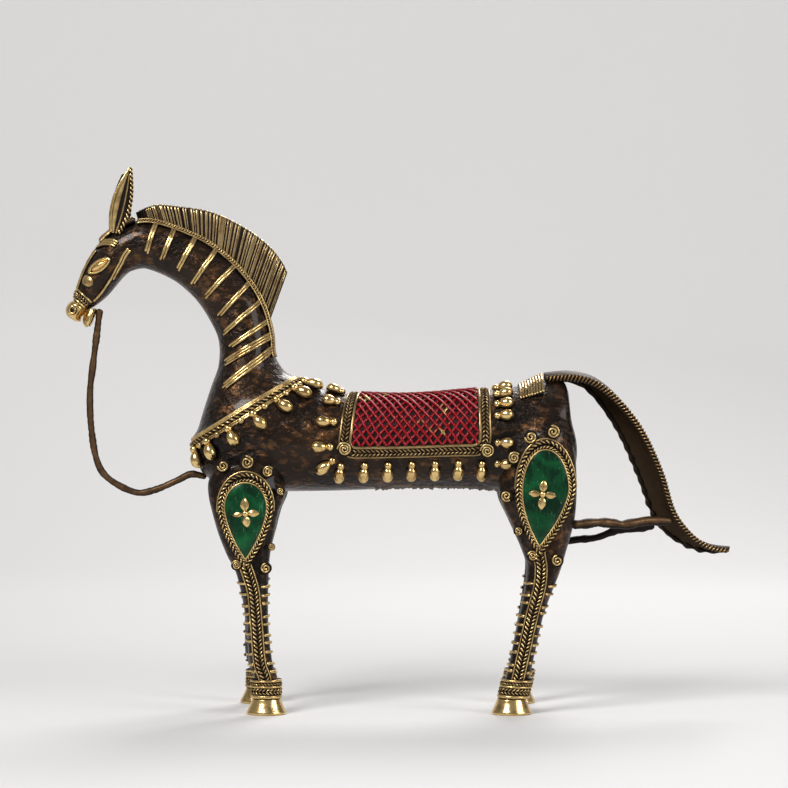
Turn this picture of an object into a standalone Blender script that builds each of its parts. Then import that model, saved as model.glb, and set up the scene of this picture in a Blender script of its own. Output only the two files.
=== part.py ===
"""A lost-wax brass horse: ribbed mane, roped collar, lattice saddle cloth and enamelled legs.

The horse faces -X with its near side at -Y, and stands on z = 0. All sizes are in metres.
Each limb is a form: ribs set between two outlines of the side view. Every ornament is laid
on the form that carries it, so it follows when the limb changes.
"""

import math

import bpy
import numpy as np

# Clearance between one piece and the piece it lies on
SEAT_GAP = 0.0003

# Body
CHEST_X = -0.0946
BODY_LENGTH = 0.1781
BACK_HEIGHT = 0.1450
BARREL_DEPTH = 0.0436
BARREL_WIDTH = 0.0430
WALL = 0.0026
VENT_PLACES = (0.520, 0.675)
VENT_LENGTH = 0.0100
VENT_WIDTH = 0.0042

# Neck and head
NECK_REACH = 0.0738
NECK_RISE = 0.0726
NECK_WIDTH = 0.0390
HEAD_LENGTH = 0.0560
HEAD_WIDTH = 0.0200
NOSTRIL_PLACE = (0.52, math.radians(62))
NOSTRIL_RADIUS = 0.0013
NOSTRIL_DEPTH = 0.0022
EAR_LENGTH = 0.0312
FAR_EAR_LENGTH = 0.0288
EAR_WIDTH = 0.0082
EAR_WALL = 0.0014
EAR_LEAN = 0.24
FAR_EAR_LEAN = 0.08
EYE_LENGTH = 0.0112
EYE_HEIGHT = 0.0050
EYE_BULGE = 0.0019
EYE_PLACE = (0.462, math.radians(77))
EYE_FRONT_CORNER = (0.631, math.radians(59))
EYE_REAR_CORNER = (0.321, math.radians(91))
BROWBAND_PLACE = 0.385
BROWBAND_SLANT = 0.23
BROWBAND_SPREAD = math.radians(72)
NOSEBAND_PLACE = 0.895
NOSEBAND_SPREAD = math.radians(128)

# Mane
MANE_HEIGHT = 0.0236
MANE_FRONT_SHARE = 0.15
MANE_THICKNESS = 0.0046
MANE_RIB_DEPTH = 0.0004
MANE_RIBS = 36
MANE_START = 0.02
MANE_END = 0.625
MANE_LEAN = math.radians(89)
MANE_FAN = math.radians(19)
MANE_FAN_START = 0.15
MANE_FAN_SHARE = 0.70

# Legs
FRONT_LEG_SETBACK = 0.0357
HIND_LEG_SETBACK = 0.1476
TRACK = 0.0440
FRONT_STAGGER = -0.0055
HIND_STAGGER = 0.0040
LEG_THICKNESS = 0.0104
HOOF_HEIGHT = 0.0070
HOOF_LENGTH = 0.0182
HOOF_WIDTH = 0.0162
CUFF_HEIGHT = 0.0088
CUFF_WALL = 0.0018
RUNG_COUNT = 8
RUNG_HEIGHT = 0.0013
RUNG_RELIEF = 0.0010
LEG_ROPE_WIDTH = 0.0050
LEG_ROPE_RELIEF = 0.0018

# Medallions
SEAT_AT_FOOT = 0.0268
SEAT_AT_TOP = 0.0248
SEAT_FOOT_HEIGHT = 0.066
SEAT_TOP_HEIGHT = 0.128
FRONT_MEDALLION = (0.0187, 0.0107, 0.0236)
HIND_MEDALLION = (0.0206, 0.0179, 0.0254)
FRONT_MEDALLION_HEIGHT = 0.0946
HIND_MEDALLION_HEIGHT = 0.1024
FRONT_MEDALLION_X = -0.0093
HIND_MEDALLION_X = 0.0153
HIND_TIP_LEAN = -0.0030
FRONT_FLOWER = (0.0, -0.0030)
HIND_FLOWER = (-0.0015, -0.0021)
FRONT_SCROLLS = (
    (-38, 0.0026),
    (3, 0.0031),
    (45, 0.0026),
    (84, 0.0019),
    (126, 0.0018),
    (146, 0.0022),
    (-150, 0.0022),
)
HIND_SCROLLS = (
    (-24, 0.0030),
    (6, 0.0031),
    (-56, 0.0028),
    (-94, 0.0026),
    (-126, 0.0020),
    (-151, 0.0024),
    (150, 0.0025),
)
PLATE_THICKNESS = 0.0008
FRAME_WIDTH = 0.0034
FRAME_HEIGHT = 0.0026
ENAMEL_THICKNESS = 0.0009
PETAL_LENGTH = 0.0068
PETAL_HEIGHT = 0.0007
STEM_RADIUS = 0.0012

# Cords and bands: width, then height
COLLAR_CORDS = (0.0048, 0.0017)
BORDER_CORDS = (0.0074, 0.0017)
BROWBAND_CORDS = (0.0038, 0.0014)
NOSEBAND_CORDS = (0.0043, 0.0010)
STRAP_CORDS = (0.0024, 0.0009)
CREST_CORDS = (0.0036, 0.0012)
STRAND_CORDS = (0.0024, 0.0010)

# Hanging drops and coiled scrolls
DROP_RADIUS = 0.0025
COLLAR_DROP_LENGTH = 0.0081
FRINGE_DROP_LENGTH = 0.0092
SIDE_DROP_LENGTH = 0.0083
FRINGE_FRONT_MARGIN = 0.0021
FRINGE_REAR_MARGIN = 0.0037
SCROLL_HEIGHT = 0.0020
CORNER_SCROLL_RADIUS = 0.0036

# Saddle cloth
SADDLE_FRONT = 0.4360
SADDLE_SHARE = 0.3144
SADDLE_LENGTH = BODY_LENGTH * SADDLE_SHARE
SADDLE_SPREAD = math.radians(96)
SADDLE_SLANT = 0.0046
BORDER_WIDTH = 0.0080
BORDER_CORNER = 0.0040
LATTICE_THICKNESS = 0.0010
LATTICE_RELIEF = 0.0009
LATTICE_LONG = 12
LATTICE_ROUND = 14

# Crupper, tail and rein
CRUPPER_FRONT = 0.852
CRUPPER_LENGTH = 0.0115
CRUPPER_SPREAD = math.radians(42)
CRUPPER_RIBS = 8
CRUPPER_THICKNESS = 0.0016
CRUPPER_SWELL = 0.0022
TAIL_WIDTH = 0.0170
TAIL_WALL = 0.0014
TAIL_ROPE = 0.0019
TAIL_TILT = math.radians(38)
BRACE_RADIUS = 0.0022
FAR_BRACE_RADIUS = 0.0017
BRACE_HEIGHT = 0.0862
FAR_BRACE_HEIGHT = 0.0757
BRACE_REACH = 0.0068
FAR_BRACE_REACH = 0.0146
BRACE_PARTING = 0.0032
REIN_RADIUS = 0.0017

BELLY_HEIGHT = BACK_HEIGHT - BARREL_DEPTH
BODY_RIBS = np.linspace(0.0, 1.0, 18)
BODY_SIDES = 16
CORE_SIDES = 10

COLOURS = {
    "bronze": ((0.050, 0.030, 0.018), 0.34, 0.85),
    "gold": ((0.560, 0.400, 0.140), 0.30, 1.00),
    "copper": ((0.110, 0.060, 0.034), 0.38, 0.90),
    "green": ((0.006, 0.085, 0.030), 0.12, 0.00),
    "red": ((0.360, 0.010, 0.020), 0.22, 0.00),
    "clay": ((0.160, 0.120, 0.090), 0.95, 0.00),
}


class Form:
    """A limb lofted through ribs: each rib joins two outline points of the side view.

    A station holds the first outline point (x, z), the second (x, z), half the width
    across Y and the distance of the middle from the centre plane. Angle 0 looks to the
    first outline, a quarter turn to the near side and half a turn to the second outline.
    """

    def __init__(self, stations, seat=None):
        self.stations = np.array(stations, float)
        self.seat = seat

    def station(self, t):
        """The station at share t of the length, on a Catmull-Rom curve through the table."""
        table = self.stations
        last = len(table) - 1
        place = min(max(t, 0.0), 1.0) * last
        i = min(int(place), last - 1)
        u = place - i
        p0, p1, p2, p3 = (table[min(max(k, 0), last)] for k in (i - 1, i, i + 1, i + 2))
        return 0.5 * (
            2 * p1
            + (p2 - p0) * u
            + (2 * p0 - 5 * p1 + 4 * p2 - p3) * u * u
            + (3 * p1 - p0 - 3 * p2 + p3) * u ** 3
        )

    def core(self, t, angle, grow=0.0):
        """A point of the rib at share t, with the rib's half sizes grown alike."""
        ax, az, bx, bz, half_width, middle = self.station(t)
        centre = np.array([(ax + bx) / 2, -middle, (az + bz) / 2])
        reach = np.array([(ax - bx) / 2, 0.0, (az - bz) / 2])
        size = np.linalg.norm(reach)
        point = centre + reach / size * (size + grow) * math.cos(angle)
        point[1] -= (half_width + grow) * math.sin(angle)
        if self.seat is not None:
            point[1] = max(point[1], -self.seat(point[2]))
        return point

    def normal(self, t, angle):
        """The outward direction of the surface."""
        step_t, step_a = 0.004, 0.02
        low, high = max(t - step_t, 0.0), min(t + step_t, 1.0)
        along = self.core(high, angle) - self.core(low, angle)
        round_it = self.core(t, angle + step_a) - self.core(t, angle - step_a)
        out = np.cross(along, round_it)
        out /= np.linalg.norm(out)
        middle = (self.core(t, 0.0) + self.core(t, math.pi)) / 2
        return out if np.dot(out, self.core(t, angle) - middle) > 0 else -out

    def on(self, t, angle, lift=0.0):
        """A point at a height over the surface."""
        return self.core(t, angle) + self.normal(t, angle) * lift

    def walk(self, t, angle, distance):
        """The share t that lies a distance further along the surface."""
        steps = 6
        for _ in range(steps):
            ahead = min(t + 0.002, 1.0)
            speed = np.linalg.norm(self.core(ahead, angle) - self.core(ahead - 0.002, angle)) / 0.002
            t += distance / steps / speed
        return t

    def share_at(self, axis, value, angle):
        """The share t at which the surface passes a value of x (axis 0) or z (axis 2)."""
        low, high = 0.0, 1.0
        rising = self.core(1.0, angle)[axis] > self.core(0.0, angle)[axis]
        for _ in range(40):
            middle = (low + high) / 2
            if (self.core(middle, angle)[axis] < value) == rising:
                low = middle
            else:
                high = middle
        return (low + high) / 2

    def mesh(self, shares, sides, grow=0.0):
        """Vertices and faces of the limb through ribs at some shares of its length."""
        return loft([[self.core(t, math.tau * k / sides, grow) for k in range(sides)] for t in shares])


def loft(loops, closed=False):
    """A closed skin through loops of equal length, capped unless the loops close on themselves."""
    loops = np.array(loops, float)
    count, sides = loops.shape[:2]
    points = loops.reshape(-1, 3)
    faces = []
    for i in range(count if closed else count - 1):
        a, b = i * sides, (i + 1) % count * sides
        for k in range(sides):
            m = (k + 1) % sides
            faces.append((a + k, a + m, b + m, b + k))
    if not closed:
        faces.append(tuple(range(sides))[::-1])
        faces.append(tuple(range((count - 1) * sides, count * sides)))
    return outward(points, faces)


def outward(points, faces):
    """The same faces, turned to face out."""
    volume = 0.0
    for face in faces:
        for k in range(1, len(face) - 1):
            a, b, c = points[face[0]], points[face[k]], points[face[k + 1]]
            volume += np.dot(a, np.cross(b, c))
    if volume < 0:
        faces = [face[::-1] for face in faces]
    return points, faces


def sweep(path, normals, profile, closed=False, scales=None):
    """A profile of (across, out) points carried along a path on a surface."""
    path = np.array(path, float)
    normals = np.array(normals, float)
    if closed:
        tangent = np.roll(path, -1, axis=0) - np.roll(path, 1, axis=0)
    else:
        tangent = np.gradient(path, axis=0)
    across = np.cross(tangent, normals)
    across /= np.linalg.norm(across, axis=1)[:, None]
    out = np.cross(across, tangent)
    out /= np.linalg.norm(out, axis=1)[:, None]
    scales = np.ones(len(path)) if scales is None else np.array(scales)
    profile = np.array(profile, float)
    loops = (
        path[:, None]
        + across[:, None] * profile[None, :, :1] * scales[:, None, None]
        + out[:, None] * profile[None, :, 1:] * scales[:, None, None]
    )
    return loft(loops, closed)


def circle(sides):
    """A round profile of radius 1."""
    turns = [math.tau * (k + 0.5) / sides for k in range(sides)]
    return [(math.cos(turn), math.sin(turn)) for turn in turns]


def cords(count, width, height):
    """The profile of some cords laid side by side, flat below and ridged above."""
    half = width / 2
    points = [(half, 0.0)]
    for k in range(count):
        points.append((half - width * (k + 0.5) / count, height))
        if k < count - 1:
            points.append((half - width * (k + 1) / count, height * 0.5))
    points.append((-half, 0.0))
    return points


def grid_indices(rows, columns):
    """Two functions that number the points of an inner grid and of an outer grid after it."""

    def below(row, column):
        return row * columns + column

    def above(row, column):
        return (rows + row) * columns + column

    return below, above


def lattice(inner, outer, step):
    """A closed plate, creased along diamonds outside; the inner grid keeps only some of the rows."""
    rows, columns = outer.shape[:2]
    below, above = grid_indices(rows, columns)
    faces = []
    for r in range(rows - 1):
        for c in range(columns - 1):
            a, b, d, e = above(r, c), above(r, c + 1), above(r + 1, c + 1), above(r + 1, c)
            faces += [(a, b, d), (a, d, e)] if (r + c) % 2 == 0 else [(a, b, e), (b, d, e)]
    for r in range(0, rows - 1, step):
        for c in range(columns - 1):
            faces.append((below(r + step, c), below(r + step, c + 1), below(r, c + 1), below(r, c)))
        run = range(r, r + step + 1)
        faces.append((below(r, 0), *(above(k, 0) for k in run), below(r + step, 0)))
        last = columns - 1
        faces.append((below(r + step, last), *(above(k, last) for k in run[::-1]), below(r, last)))
    for c in range(columns - 1):
        last = rows - 1
        faces.append((above(0, c + 1), above(0, c), below(0, c), below(0, c + 1)))
        faces.append((above(last, c), above(last, c + 1), below(last, c + 1), below(last, c)))
    return compact(inner, outer, faces)


def plate(inner, outer, filled):
    """A closed plate over the filled cells of a grid of inner and outer points."""
    rows, columns = inner.shape[:2]
    below, above = grid_indices(rows, columns)
    faces = []
    for r in range(rows - 1):
        for c in range(columns - 1):
            if not filled(r, c):
                continue
            corners = [(r, c), (r, c + 1), (r + 1, c + 1), (r + 1, c)]
            faces.append(tuple(above(*corner) for corner in corners))
            faces.append(tuple(below(*corner) for corner in corners[::-1]))
            beside = [(r - 1, c), (r, c + 1), (r + 1, c), (r, c - 1)]
            for k, (r2, c2) in enumerate(beside):
                inside = 0 <= r2 < rows - 1 and 0 <= c2 < columns - 1
                if inside and filled(r2, c2):
                    continue
                a, b = corners[k], corners[(k + 1) % 4]
                faces.append((above(*b), above(*a), below(*a), below(*b)))
    return compact(inner, outer, faces)


def compact(inner, outer, faces):
    """The faces over two grids of points, without the points that no face uses."""
    points = np.concatenate([inner.reshape(-1, 3), outer.reshape(-1, 3)])
    used = sorted({k for face in faces for k in face})
    place = {k: i for i, k in enumerate(used)}
    return outward(points[used], [tuple(place[k] for k in face) for face in faces])


def mirrored(shape, stride=0.0):
    """The shape on the far side. A stride slants a leg along X: none at the belly, all at the foot."""
    points, faces = shape
    points = points * np.array([1.0, -1.0, 1.0])
    points[:, 0] += stride * np.clip(1 - points[:, 2] / BELLY_HEIGHT, 0, 1)
    return points, [face[::-1] for face in faces]


def joined(shapes):
    """Several shapes as one list of points and faces."""
    points, faces, start = [], [], 0
    for shape_points, shape_faces in shapes:
        points.append(shape_points)
        faces += [tuple(start + k for k in face) for face in shape_faces]
        start += len(shape_points)
    return np.concatenate(points), faces


def box(low, high):
    """An upright box between two corners."""
    (x0, y0, z0), (x1, y1, z1) = low, high
    loops = [[(x0, y0, z), (x1, y0, z), (x1, y1, z), (x0, y1, z)] for z in (z0, z1)]
    return loft(loops)


def material(name):
    """The Principled material of one finish."""
    if name in bpy.data.materials:
        return bpy.data.materials[name]
    colour, roughness, metallic = COLOURS[name]
    made = bpy.data.materials.new(name)
    made.use_nodes = True
    shader = made.node_tree.nodes["Principled BSDF"]
    shader.inputs["Base Color"].default_value = (*colour, 1.0)
    shader.inputs["Roughness"].default_value = roughness
    shader.inputs["Metallic"].default_value = metallic
    return made


def add(name, shape, finish, parent, smooth=35):
    """One named piece of the horse."""
    points, faces = shape
    mesh = bpy.data.meshes.new(name)
    mesh.from_pydata([tuple(point) for point in points], [], [tuple(face) for face in faces])
    mesh.materials.append(material(finish))
    mesh.shade_smooth()
    mesh.set_sharp_from_angle(angle=math.radians(smooth))
    piece = bpy.data.objects.new(name, mesh)
    piece.parent = parent
    bpy.context.collection.objects.link(piece)
    return piece


def boolean(piece, shape, operation, name):
    """Cut a shape out of a piece, or join it on."""
    tool = add(name, shape, "clay", piece.parent)
    tool.hide_render = True
    tool.display_type = "WIRE"
    change = piece.modifiers.new(name, "BOOLEAN")
    change.object = tool
    change.operation = operation
    change.solver = "EXACT"
    change.use_self = operation == "UNION"
    return tool


def body_form():
    """The barrel from the collar's slanting seam to the rump."""
    table = (
        (0.269, 0.0090, 0.000, 0.0237, 0.92),
        (0.290, 0.0068, 0.012, 0.0150, 0.97),
        (0.318, 0.0048, 0.038, 0.0062, 1.00),
        (0.356, 0.0028, 0.130, 0.0000, 1.00),
        (0.415, 0.0008, 0.350, -0.0004, 0.98),
        (0.560, -0.0002, 0.550, 0.0008, 0.96),
        (0.715, 0.0018, 0.705, 0.0008, 0.98),
        (0.830, 0.0040, 0.850, -0.0010, 1.01),
        (0.900, 0.0066, 0.955, 0.0004, 0.99),
        (0.945, 0.0078, 0.990, 0.0090, 0.88),
        (0.970, 0.0066, 0.992, 0.0210, 0.70),
        (0.980, 0.0030, 0.986, 0.0310, 0.42),
    )
    return Form([
        (
            CHEST_X + BODY_LENGTH * upper_x,
            BACK_HEIGHT + upper_rise,
            CHEST_X + BODY_LENGTH * lower_x,
            BELLY_HEIGHT + lower_rise,
            BARREL_WIDTH / 2 * width,
            0.0,
        )
        for upper_x, upper_rise, lower_x, lower_rise, width in table
    ])


def neck_form(body):
    """The neck from the seam up and forward to the poll."""
    ax, az, bx, bz, half_width, _ = body.station(0.0)
    along = np.array([ax - bx, az - bz]) / math.hypot(ax - bx, az - bz)
    gap_x, gap_z = -along[1] * SEAT_GAP, along[0] * SEAT_GAP
    table = (
        (0.057, 0.029, 0.614, -0.336, 0.95),
        (0.100, 0.084, 0.580, -0.226, 0.87),
        (0.133, 0.160, 0.530, -0.068, 0.77),
        (0.143, 0.284, 0.482, 0.077, 0.67),
        (0.187, 0.449, 0.481, 0.229, 0.61),
        (0.262, 0.594, 0.533, 0.355, 0.575),
        (0.378, 0.736, 0.621, 0.490, 0.55),
        (0.533, 0.862, 0.736, 0.598, 0.535),
        (0.682, 0.935, 0.844, 0.658, 0.525),
        (0.830, 0.990, 0.932, 0.690, 0.52),
        (0.922, 1.006, 0.972, 0.692, 0.52),
        (1.000, 1.000, 1.012, 0.684, 0.515),
    )
    stations = [(ax + gap_x, az + gap_z, bx + gap_x, bz + gap_z, half_width, 0.0)]
    for upper_x, upper_z, lower_x, lower_z, width in table:
        stations.append((
            ax - NECK_REACH * upper_x,
            az + NECK_RISE * upper_z,
            ax - NECK_REACH * lower_x,
            az + NECK_RISE * lower_z,
            NECK_WIDTH / 2 * width,
            0.0,
        ))
    return Form(stations)


def head_form(neck):
    """The head from the poll down to the noseband."""
    ax, az, bx, bz, half_width, _ = neck.station(1.0)
    table = (
        (0.152, -0.072, 0.060, -0.430, 1.01),
        (0.254, -0.152, 0.115, -0.480, 0.99),
        (0.330, -0.245, 0.178, -0.555, 0.95),
        (0.392, -0.340, 0.232, -0.618, 0.87),
        (0.446, -0.456, 0.286, -0.668, 0.76),
        (0.487, -0.576, 0.348, -0.713, 0.66),
        (0.522, -0.656, 0.404, -0.742, 0.60),
    )
    stations = [(ax - SEAT_GAP, az, bx - SEAT_GAP, bz, half_width, 0.0)]
    for upper_x, upper_z, lower_x, lower_z, width in table:
        stations.append((
            ax - HEAD_LENGTH * upper_x,
            az + HEAD_LENGTH * upper_z,
            ax - HEAD_LENGTH * lower_x,
            az + HEAD_LENGTH * lower_z,
            HEAD_WIDTH / 2 * width,
            0.0,
        ))
    return Form(stations)


def muzzle_form(head):
    """The swollen muzzle, seated on the end of the head."""
    ax, az, bx, bz, half_width, _ = head.station(1.0)
    along = np.array([ax - bx, az - bz]) / math.hypot(ax - bx, az - bz)
    ahead = np.array([along[1], -along[0]])
    if ahead[1] > 0:
        ahead = -ahead
    size = HEAD_LENGTH
    stations = []
    for reach, top, bottom, width in (
        (SEAT_GAP / size, -0.004, -0.004, 0.60),
        (0.032, 0.011, 0.000, 0.66),
        (0.078, 0.012, -0.004, 0.66),
        (0.116, -0.004, 0.008, 0.56),
        (0.138, -0.034, -0.032, 0.34),
    ):
        upper = np.array([ax, az]) + ahead * size * reach + along * size * top
        lower = np.array([bx, bz]) + ahead * size * reach - along * size * bottom
        stations.append((*upper, *lower, HEAD_WIDTH / 2 * width, 0.0))
    return Form(stations)


def jaw_form(head):
    """The lower lip and chin, hung behind the muzzle."""
    ax, az, bx, bz, _, _ = head.station(1.0)
    size = HEAD_LENGTH
    stations = []
    for front_x, front_z, rear_x, rear_z, width in (
        (0.006, -0.024, -0.073, 0.000, 0.44),
        (0.022, -0.070, -0.062, -0.045, 0.50),
        (0.014, -0.118, -0.042, -0.105, 0.48),
        (-0.012, -0.138, -0.026, -0.134, 0.30),
    ):
        stations.append((
            bx - size * front_x,
            bz + size * front_z,
            bx - size * rear_x,
            bz + size * rear_z,
            HEAD_WIDTH / 2 * width,
            0.0,
        ))
    return Form(stations)


def seat_distance(height):
    """How far from the centre plane the flat seat of a medallion lies at a height."""
    share = (height - SEAT_FOOT_HEIGHT) / (SEAT_TOP_HEIGHT - SEAT_FOOT_HEIGHT)
    return SEAT_AT_FOOT + (SEAT_AT_TOP - SEAT_AT_FOOT) * max(share, -0.2)


def leg_form(setback, table):
    """A leg from the hoof up to where it clasps the barrel, flat outside under its medallion."""
    x = CHEST_X + setback
    stations = []
    for height, front, rear, thickness, inset in table:
        z = HOOF_HEIGHT + SEAT_GAP + (BELLY_HEIGHT - HOOF_HEIGHT) * height
        stations.append((
            x + front,
            z,
            x + rear,
            z,
            LEG_THICKNESS / 2 * thickness,
            TRACK / 2 - inset,
        ))
    return Form(stations, seat_distance)


def front_leg_form():
    """The near front leg."""
    return leg_form(FRONT_LEG_SETBACK, (
        (0.000, -0.0052, 0.0052, 0.92, 0.0),
        (0.100, -0.0056, 0.0050, 0.94, 0.0),
        (0.185, -0.0081, 0.0026, 1.00, 0.0),
        (0.380, -0.0094, 0.0008, 1.00, 0.0),
        (0.590, -0.0134, 0.0010, 1.08, 0.0),
        (0.695, -0.0182, 0.0016, 1.26, 0.0005),
        (0.800, -0.0222, 0.0036, 1.46, 0.0015),
        (0.900, -0.0250, 0.0056, 1.68, 0.0030),
        (0.980, -0.0268, 0.0082, 1.84, 0.0045),
        (1.050, -0.0268, 0.0070, 1.92, 0.0052),
        (1.120, -0.0238, 0.0030, 1.84, 0.0058),
        (1.165, -0.0170, -0.0030, 1.20, 0.0078),
    ))


def hind_leg_form():
    """The near hind leg."""
    return leg_form(HIND_LEG_SETBACK, (
        (0.000, -0.0050, 0.0060, 0.92, 0.0),
        (0.105, -0.0027, 0.0083, 0.94, 0.0),
        (0.210, -0.0004, 0.0104, 1.00, 0.0),
        (0.410, 0.0036, 0.0148, 1.02, 0.0),
        (0.605, 0.0068, 0.0218, 1.22, 0.0005),
        (0.690, 0.0056, 0.0244, 1.42, 0.0015),
        (0.855, -0.0008, 0.0288, 1.74, 0.0035),
        (0.975, -0.0052, 0.0300, 1.94, 0.0050),
        (1.090, -0.0030, 0.0300, 2.04, 0.0060),
        (1.185, 0.0010, 0.0294, 1.98, 0.0065),
        (1.270, 0.0070, 0.0268, 1.72, 0.0070),
        (1.325, 0.0130, 0.0230, 1.00, 0.0085),
    ))


def drop(form, t, angle, along_t, along_angle, length):
    """A hanging drop: a stem that swells to a pear, lying on a form from its top downwards."""
    reach = length / np.linalg.norm(form.core(t, angle) - (form.core(t, 0) + form.core(t, math.pi)) / 2)
    path, normals, scales = [], [], []
    for share, size in ((0.0, 0.38), (0.68, 1.0), (1.0, 0.36)):
        t2 = form.walk(t, angle, along_t * length * share) if along_t else t
        angle2 = angle + along_angle * reach * share
        path.append(form.on(t2, angle2, SEAT_GAP + DROP_RADIUS * max(size, 0.62)))
        normals.append(form.normal(t2, angle2))
        scales.append(DROP_RADIUS * size)
    return sweep(path, normals, circle(5), scales=scales)


def make_body(body, parent):
    """The hollow barrel, its two core vents and the clay core that stays inside."""
    shell = add("body_shell", body.mesh(BODY_RIBS, BODY_SIDES), "bronze", parent)
    ribs = np.linspace(0.09, 0.93, 10)
    hollow = body.mesh(ribs, CORE_SIDES, grow=-WALL)
    boolean(shell, hollow, "DIFFERENCE", "hollow")
    vents = []
    for place in VENT_PLACES:
        x = CHEST_X + BODY_LENGTH * place
        vents.append(box(
            (x - VENT_LENGTH / 2, -VENT_WIDTH / 2, BELLY_HEIGHT - WALL),
            (x + VENT_LENGTH / 2, VENT_WIDTH / 2, BELLY_HEIGHT + 2 * WALL),
        ))
    boolean(shell, joined(vents), "DIFFERENCE", "vents")
    core = body.mesh(ribs[1:-1], CORE_SIDES, grow=-WALL - SEAT_GAP)
    add("clay_core", core, "clay", parent)


def make_head(head, muzzle, jaw, parent):
    """The head with its muzzle, chin, eyes, ears, browband, noseband and cheek straps."""
    add("head", head.mesh(np.linspace(0, 1, 10), 12), "bronze", parent)
    nose = add("muzzle", muzzle.mesh(np.linspace(0, 1, 6), 10), "gold", parent)
    pits = []
    for side in (1, -1):
        t, angle = NOSTRIL_PLACE[0], side * NOSTRIL_PLACE[1]
        place, out = muzzle.on(t, angle), muzzle.normal(t, angle)
        path = [place - out * NOSTRIL_DEPTH, place + out * NOSTRIL_DEPTH]
        widths = (NOSTRIL_RADIUS * 0.5, NOSTRIL_RADIUS * 1.5)
        pits.append(sweep(path, [(0, 0, 1)] * 2, circle(7), scales=widths))
    boolean(nose, joined(pits), "DIFFERENCE", "nostrils")
    add("lower_jaw", jaw.mesh(np.linspace(0, 1, 5), 8), "gold", parent)

    path, normals = [], []
    for angle in np.linspace(-BROWBAND_SPREAD, BROWBAND_SPREAD, 9):
        t = BROWBAND_PLACE - BROWBAND_SLANT * math.sin(angle) ** 2
        path.append(head.on(t, angle, SEAT_GAP))
        normals.append(head.normal(t, angle))
    add("browband", sweep(path, normals, cords(3, *BROWBAND_CORDS)), "gold", parent)

    turns = np.linspace(-NOSEBAND_SPREAD, NOSEBAND_SPREAD, 11)
    path = [head.on(NOSEBAND_PLACE, turn, SEAT_GAP * 1.5) for turn in turns]
    normals = [head.normal(NOSEBAND_PLACE, turn) for turn in turns]
    add("noseband", sweep(path, normals, cords(3, *NOSEBAND_CORDS)), "gold", parent)

    path, normals = [], []
    for t in np.linspace(0.06, 0.80, 8):
        angle = math.radians(np.interp(t, (0.05, 0.20, 0.40, 0.62), (96, 118, 131, 136)))
        path.append(head.on(t, angle, SEAT_GAP))
        normals.append(head.normal(t, angle))
    strap = sweep(path, normals, cords(2, *STRAP_CORDS))
    eye = almond(head)
    for side, turn, length, lean in (
        ("left", lambda shape: shape, EAR_LENGTH, EAR_LEAN),
        ("right", mirrored, FAR_EAR_LENGTH, FAR_EAR_LEAN),
    ):
        add(f"cheek_strap_{side}", turn(strap), "gold", parent)
        add(f"eye_{side}", turn(eye), "gold", parent)
        add(f"ear_{side}", turn(leaf(head, length, lean)), "gold", parent)


def almond(head):
    """An eye: an almond with a raised rim and a swollen middle, slanting over the cheek."""
    centre, out = head.on(*EYE_PLACE, SEAT_GAP), head.normal(*EYE_PLACE)
    down = head.core(*EYE_FRONT_CORNER) - head.core(*EYE_REAR_CORNER)
    down -= out * np.dot(out, down)
    down /= np.linalg.norm(down)
    across = np.cross(out, down)
    count = 8
    loops = []
    for share, height in ((1.0, 0.0), (0.95, 0.65), (0.70, 0.45), (0.34, 1.0)):
        loop = []
        for k in range(count):
            turn = math.tau * k / count
            length = EYE_LENGTH / 2 * share * math.cos(turn)
            width = EYE_HEIGHT / 2 * share * math.sin(turn) * abs(math.sin(turn)) ** 0.5
            loop.append(centre + down * length + across * width + out * EYE_BULGE * height)
        loops.append(loop)
    return loft(loops)


def leaf(head, length, backward):
    """An ear: a cupped leaf, hollow on its outer side, standing on the poll and leaning backward."""
    foot = head.core(0.17, math.radians(40))
    foot[2] += SEAT_GAP * 3
    lean = np.array([backward, -0.06, 1.0])
    lean /= np.linalg.norm(lean)
    fore = np.array([-1.0, 0.0, 0.10])
    fore -= lean * np.dot(fore, lean)
    fore /= np.linalg.norm(fore)
    out = np.cross(fore, lean)
    if out[1] > 0:
        out = -out
    rows, columns = 6, 4
    inner, outer = np.zeros((2, rows, columns, 3))
    for i, share in enumerate(np.linspace(0.0, 1.0, rows)):
        half = EAR_WIDTH / 2 * (0.40 + 0.75 * math.sin(math.pi * share ** 0.9) - 0.34 * share)
        curl = 0.6 * half
        for k, v in enumerate(np.linspace(-1, 1, columns)):
            point = foot + lean * length * share + fore * half * v
            point = point + out * curl * (v * v - 0.35)
            inner[i, k] = point
            outer[i, k] = point + out * EAR_WALL * (1.3 - 0.3 * share)
    return plate(inner, outer, lambda r, c: True)


def crest_angle(neck, t):
    """Where the crest band's middle lies beside the foot of the mane."""
    beside = MANE_THICKNESS / 2 + SEAT_GAP + CREST_CORDS[0] * 0.55
    return math.asin(min(beside / neck.station(t)[4], 0.8))


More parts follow.
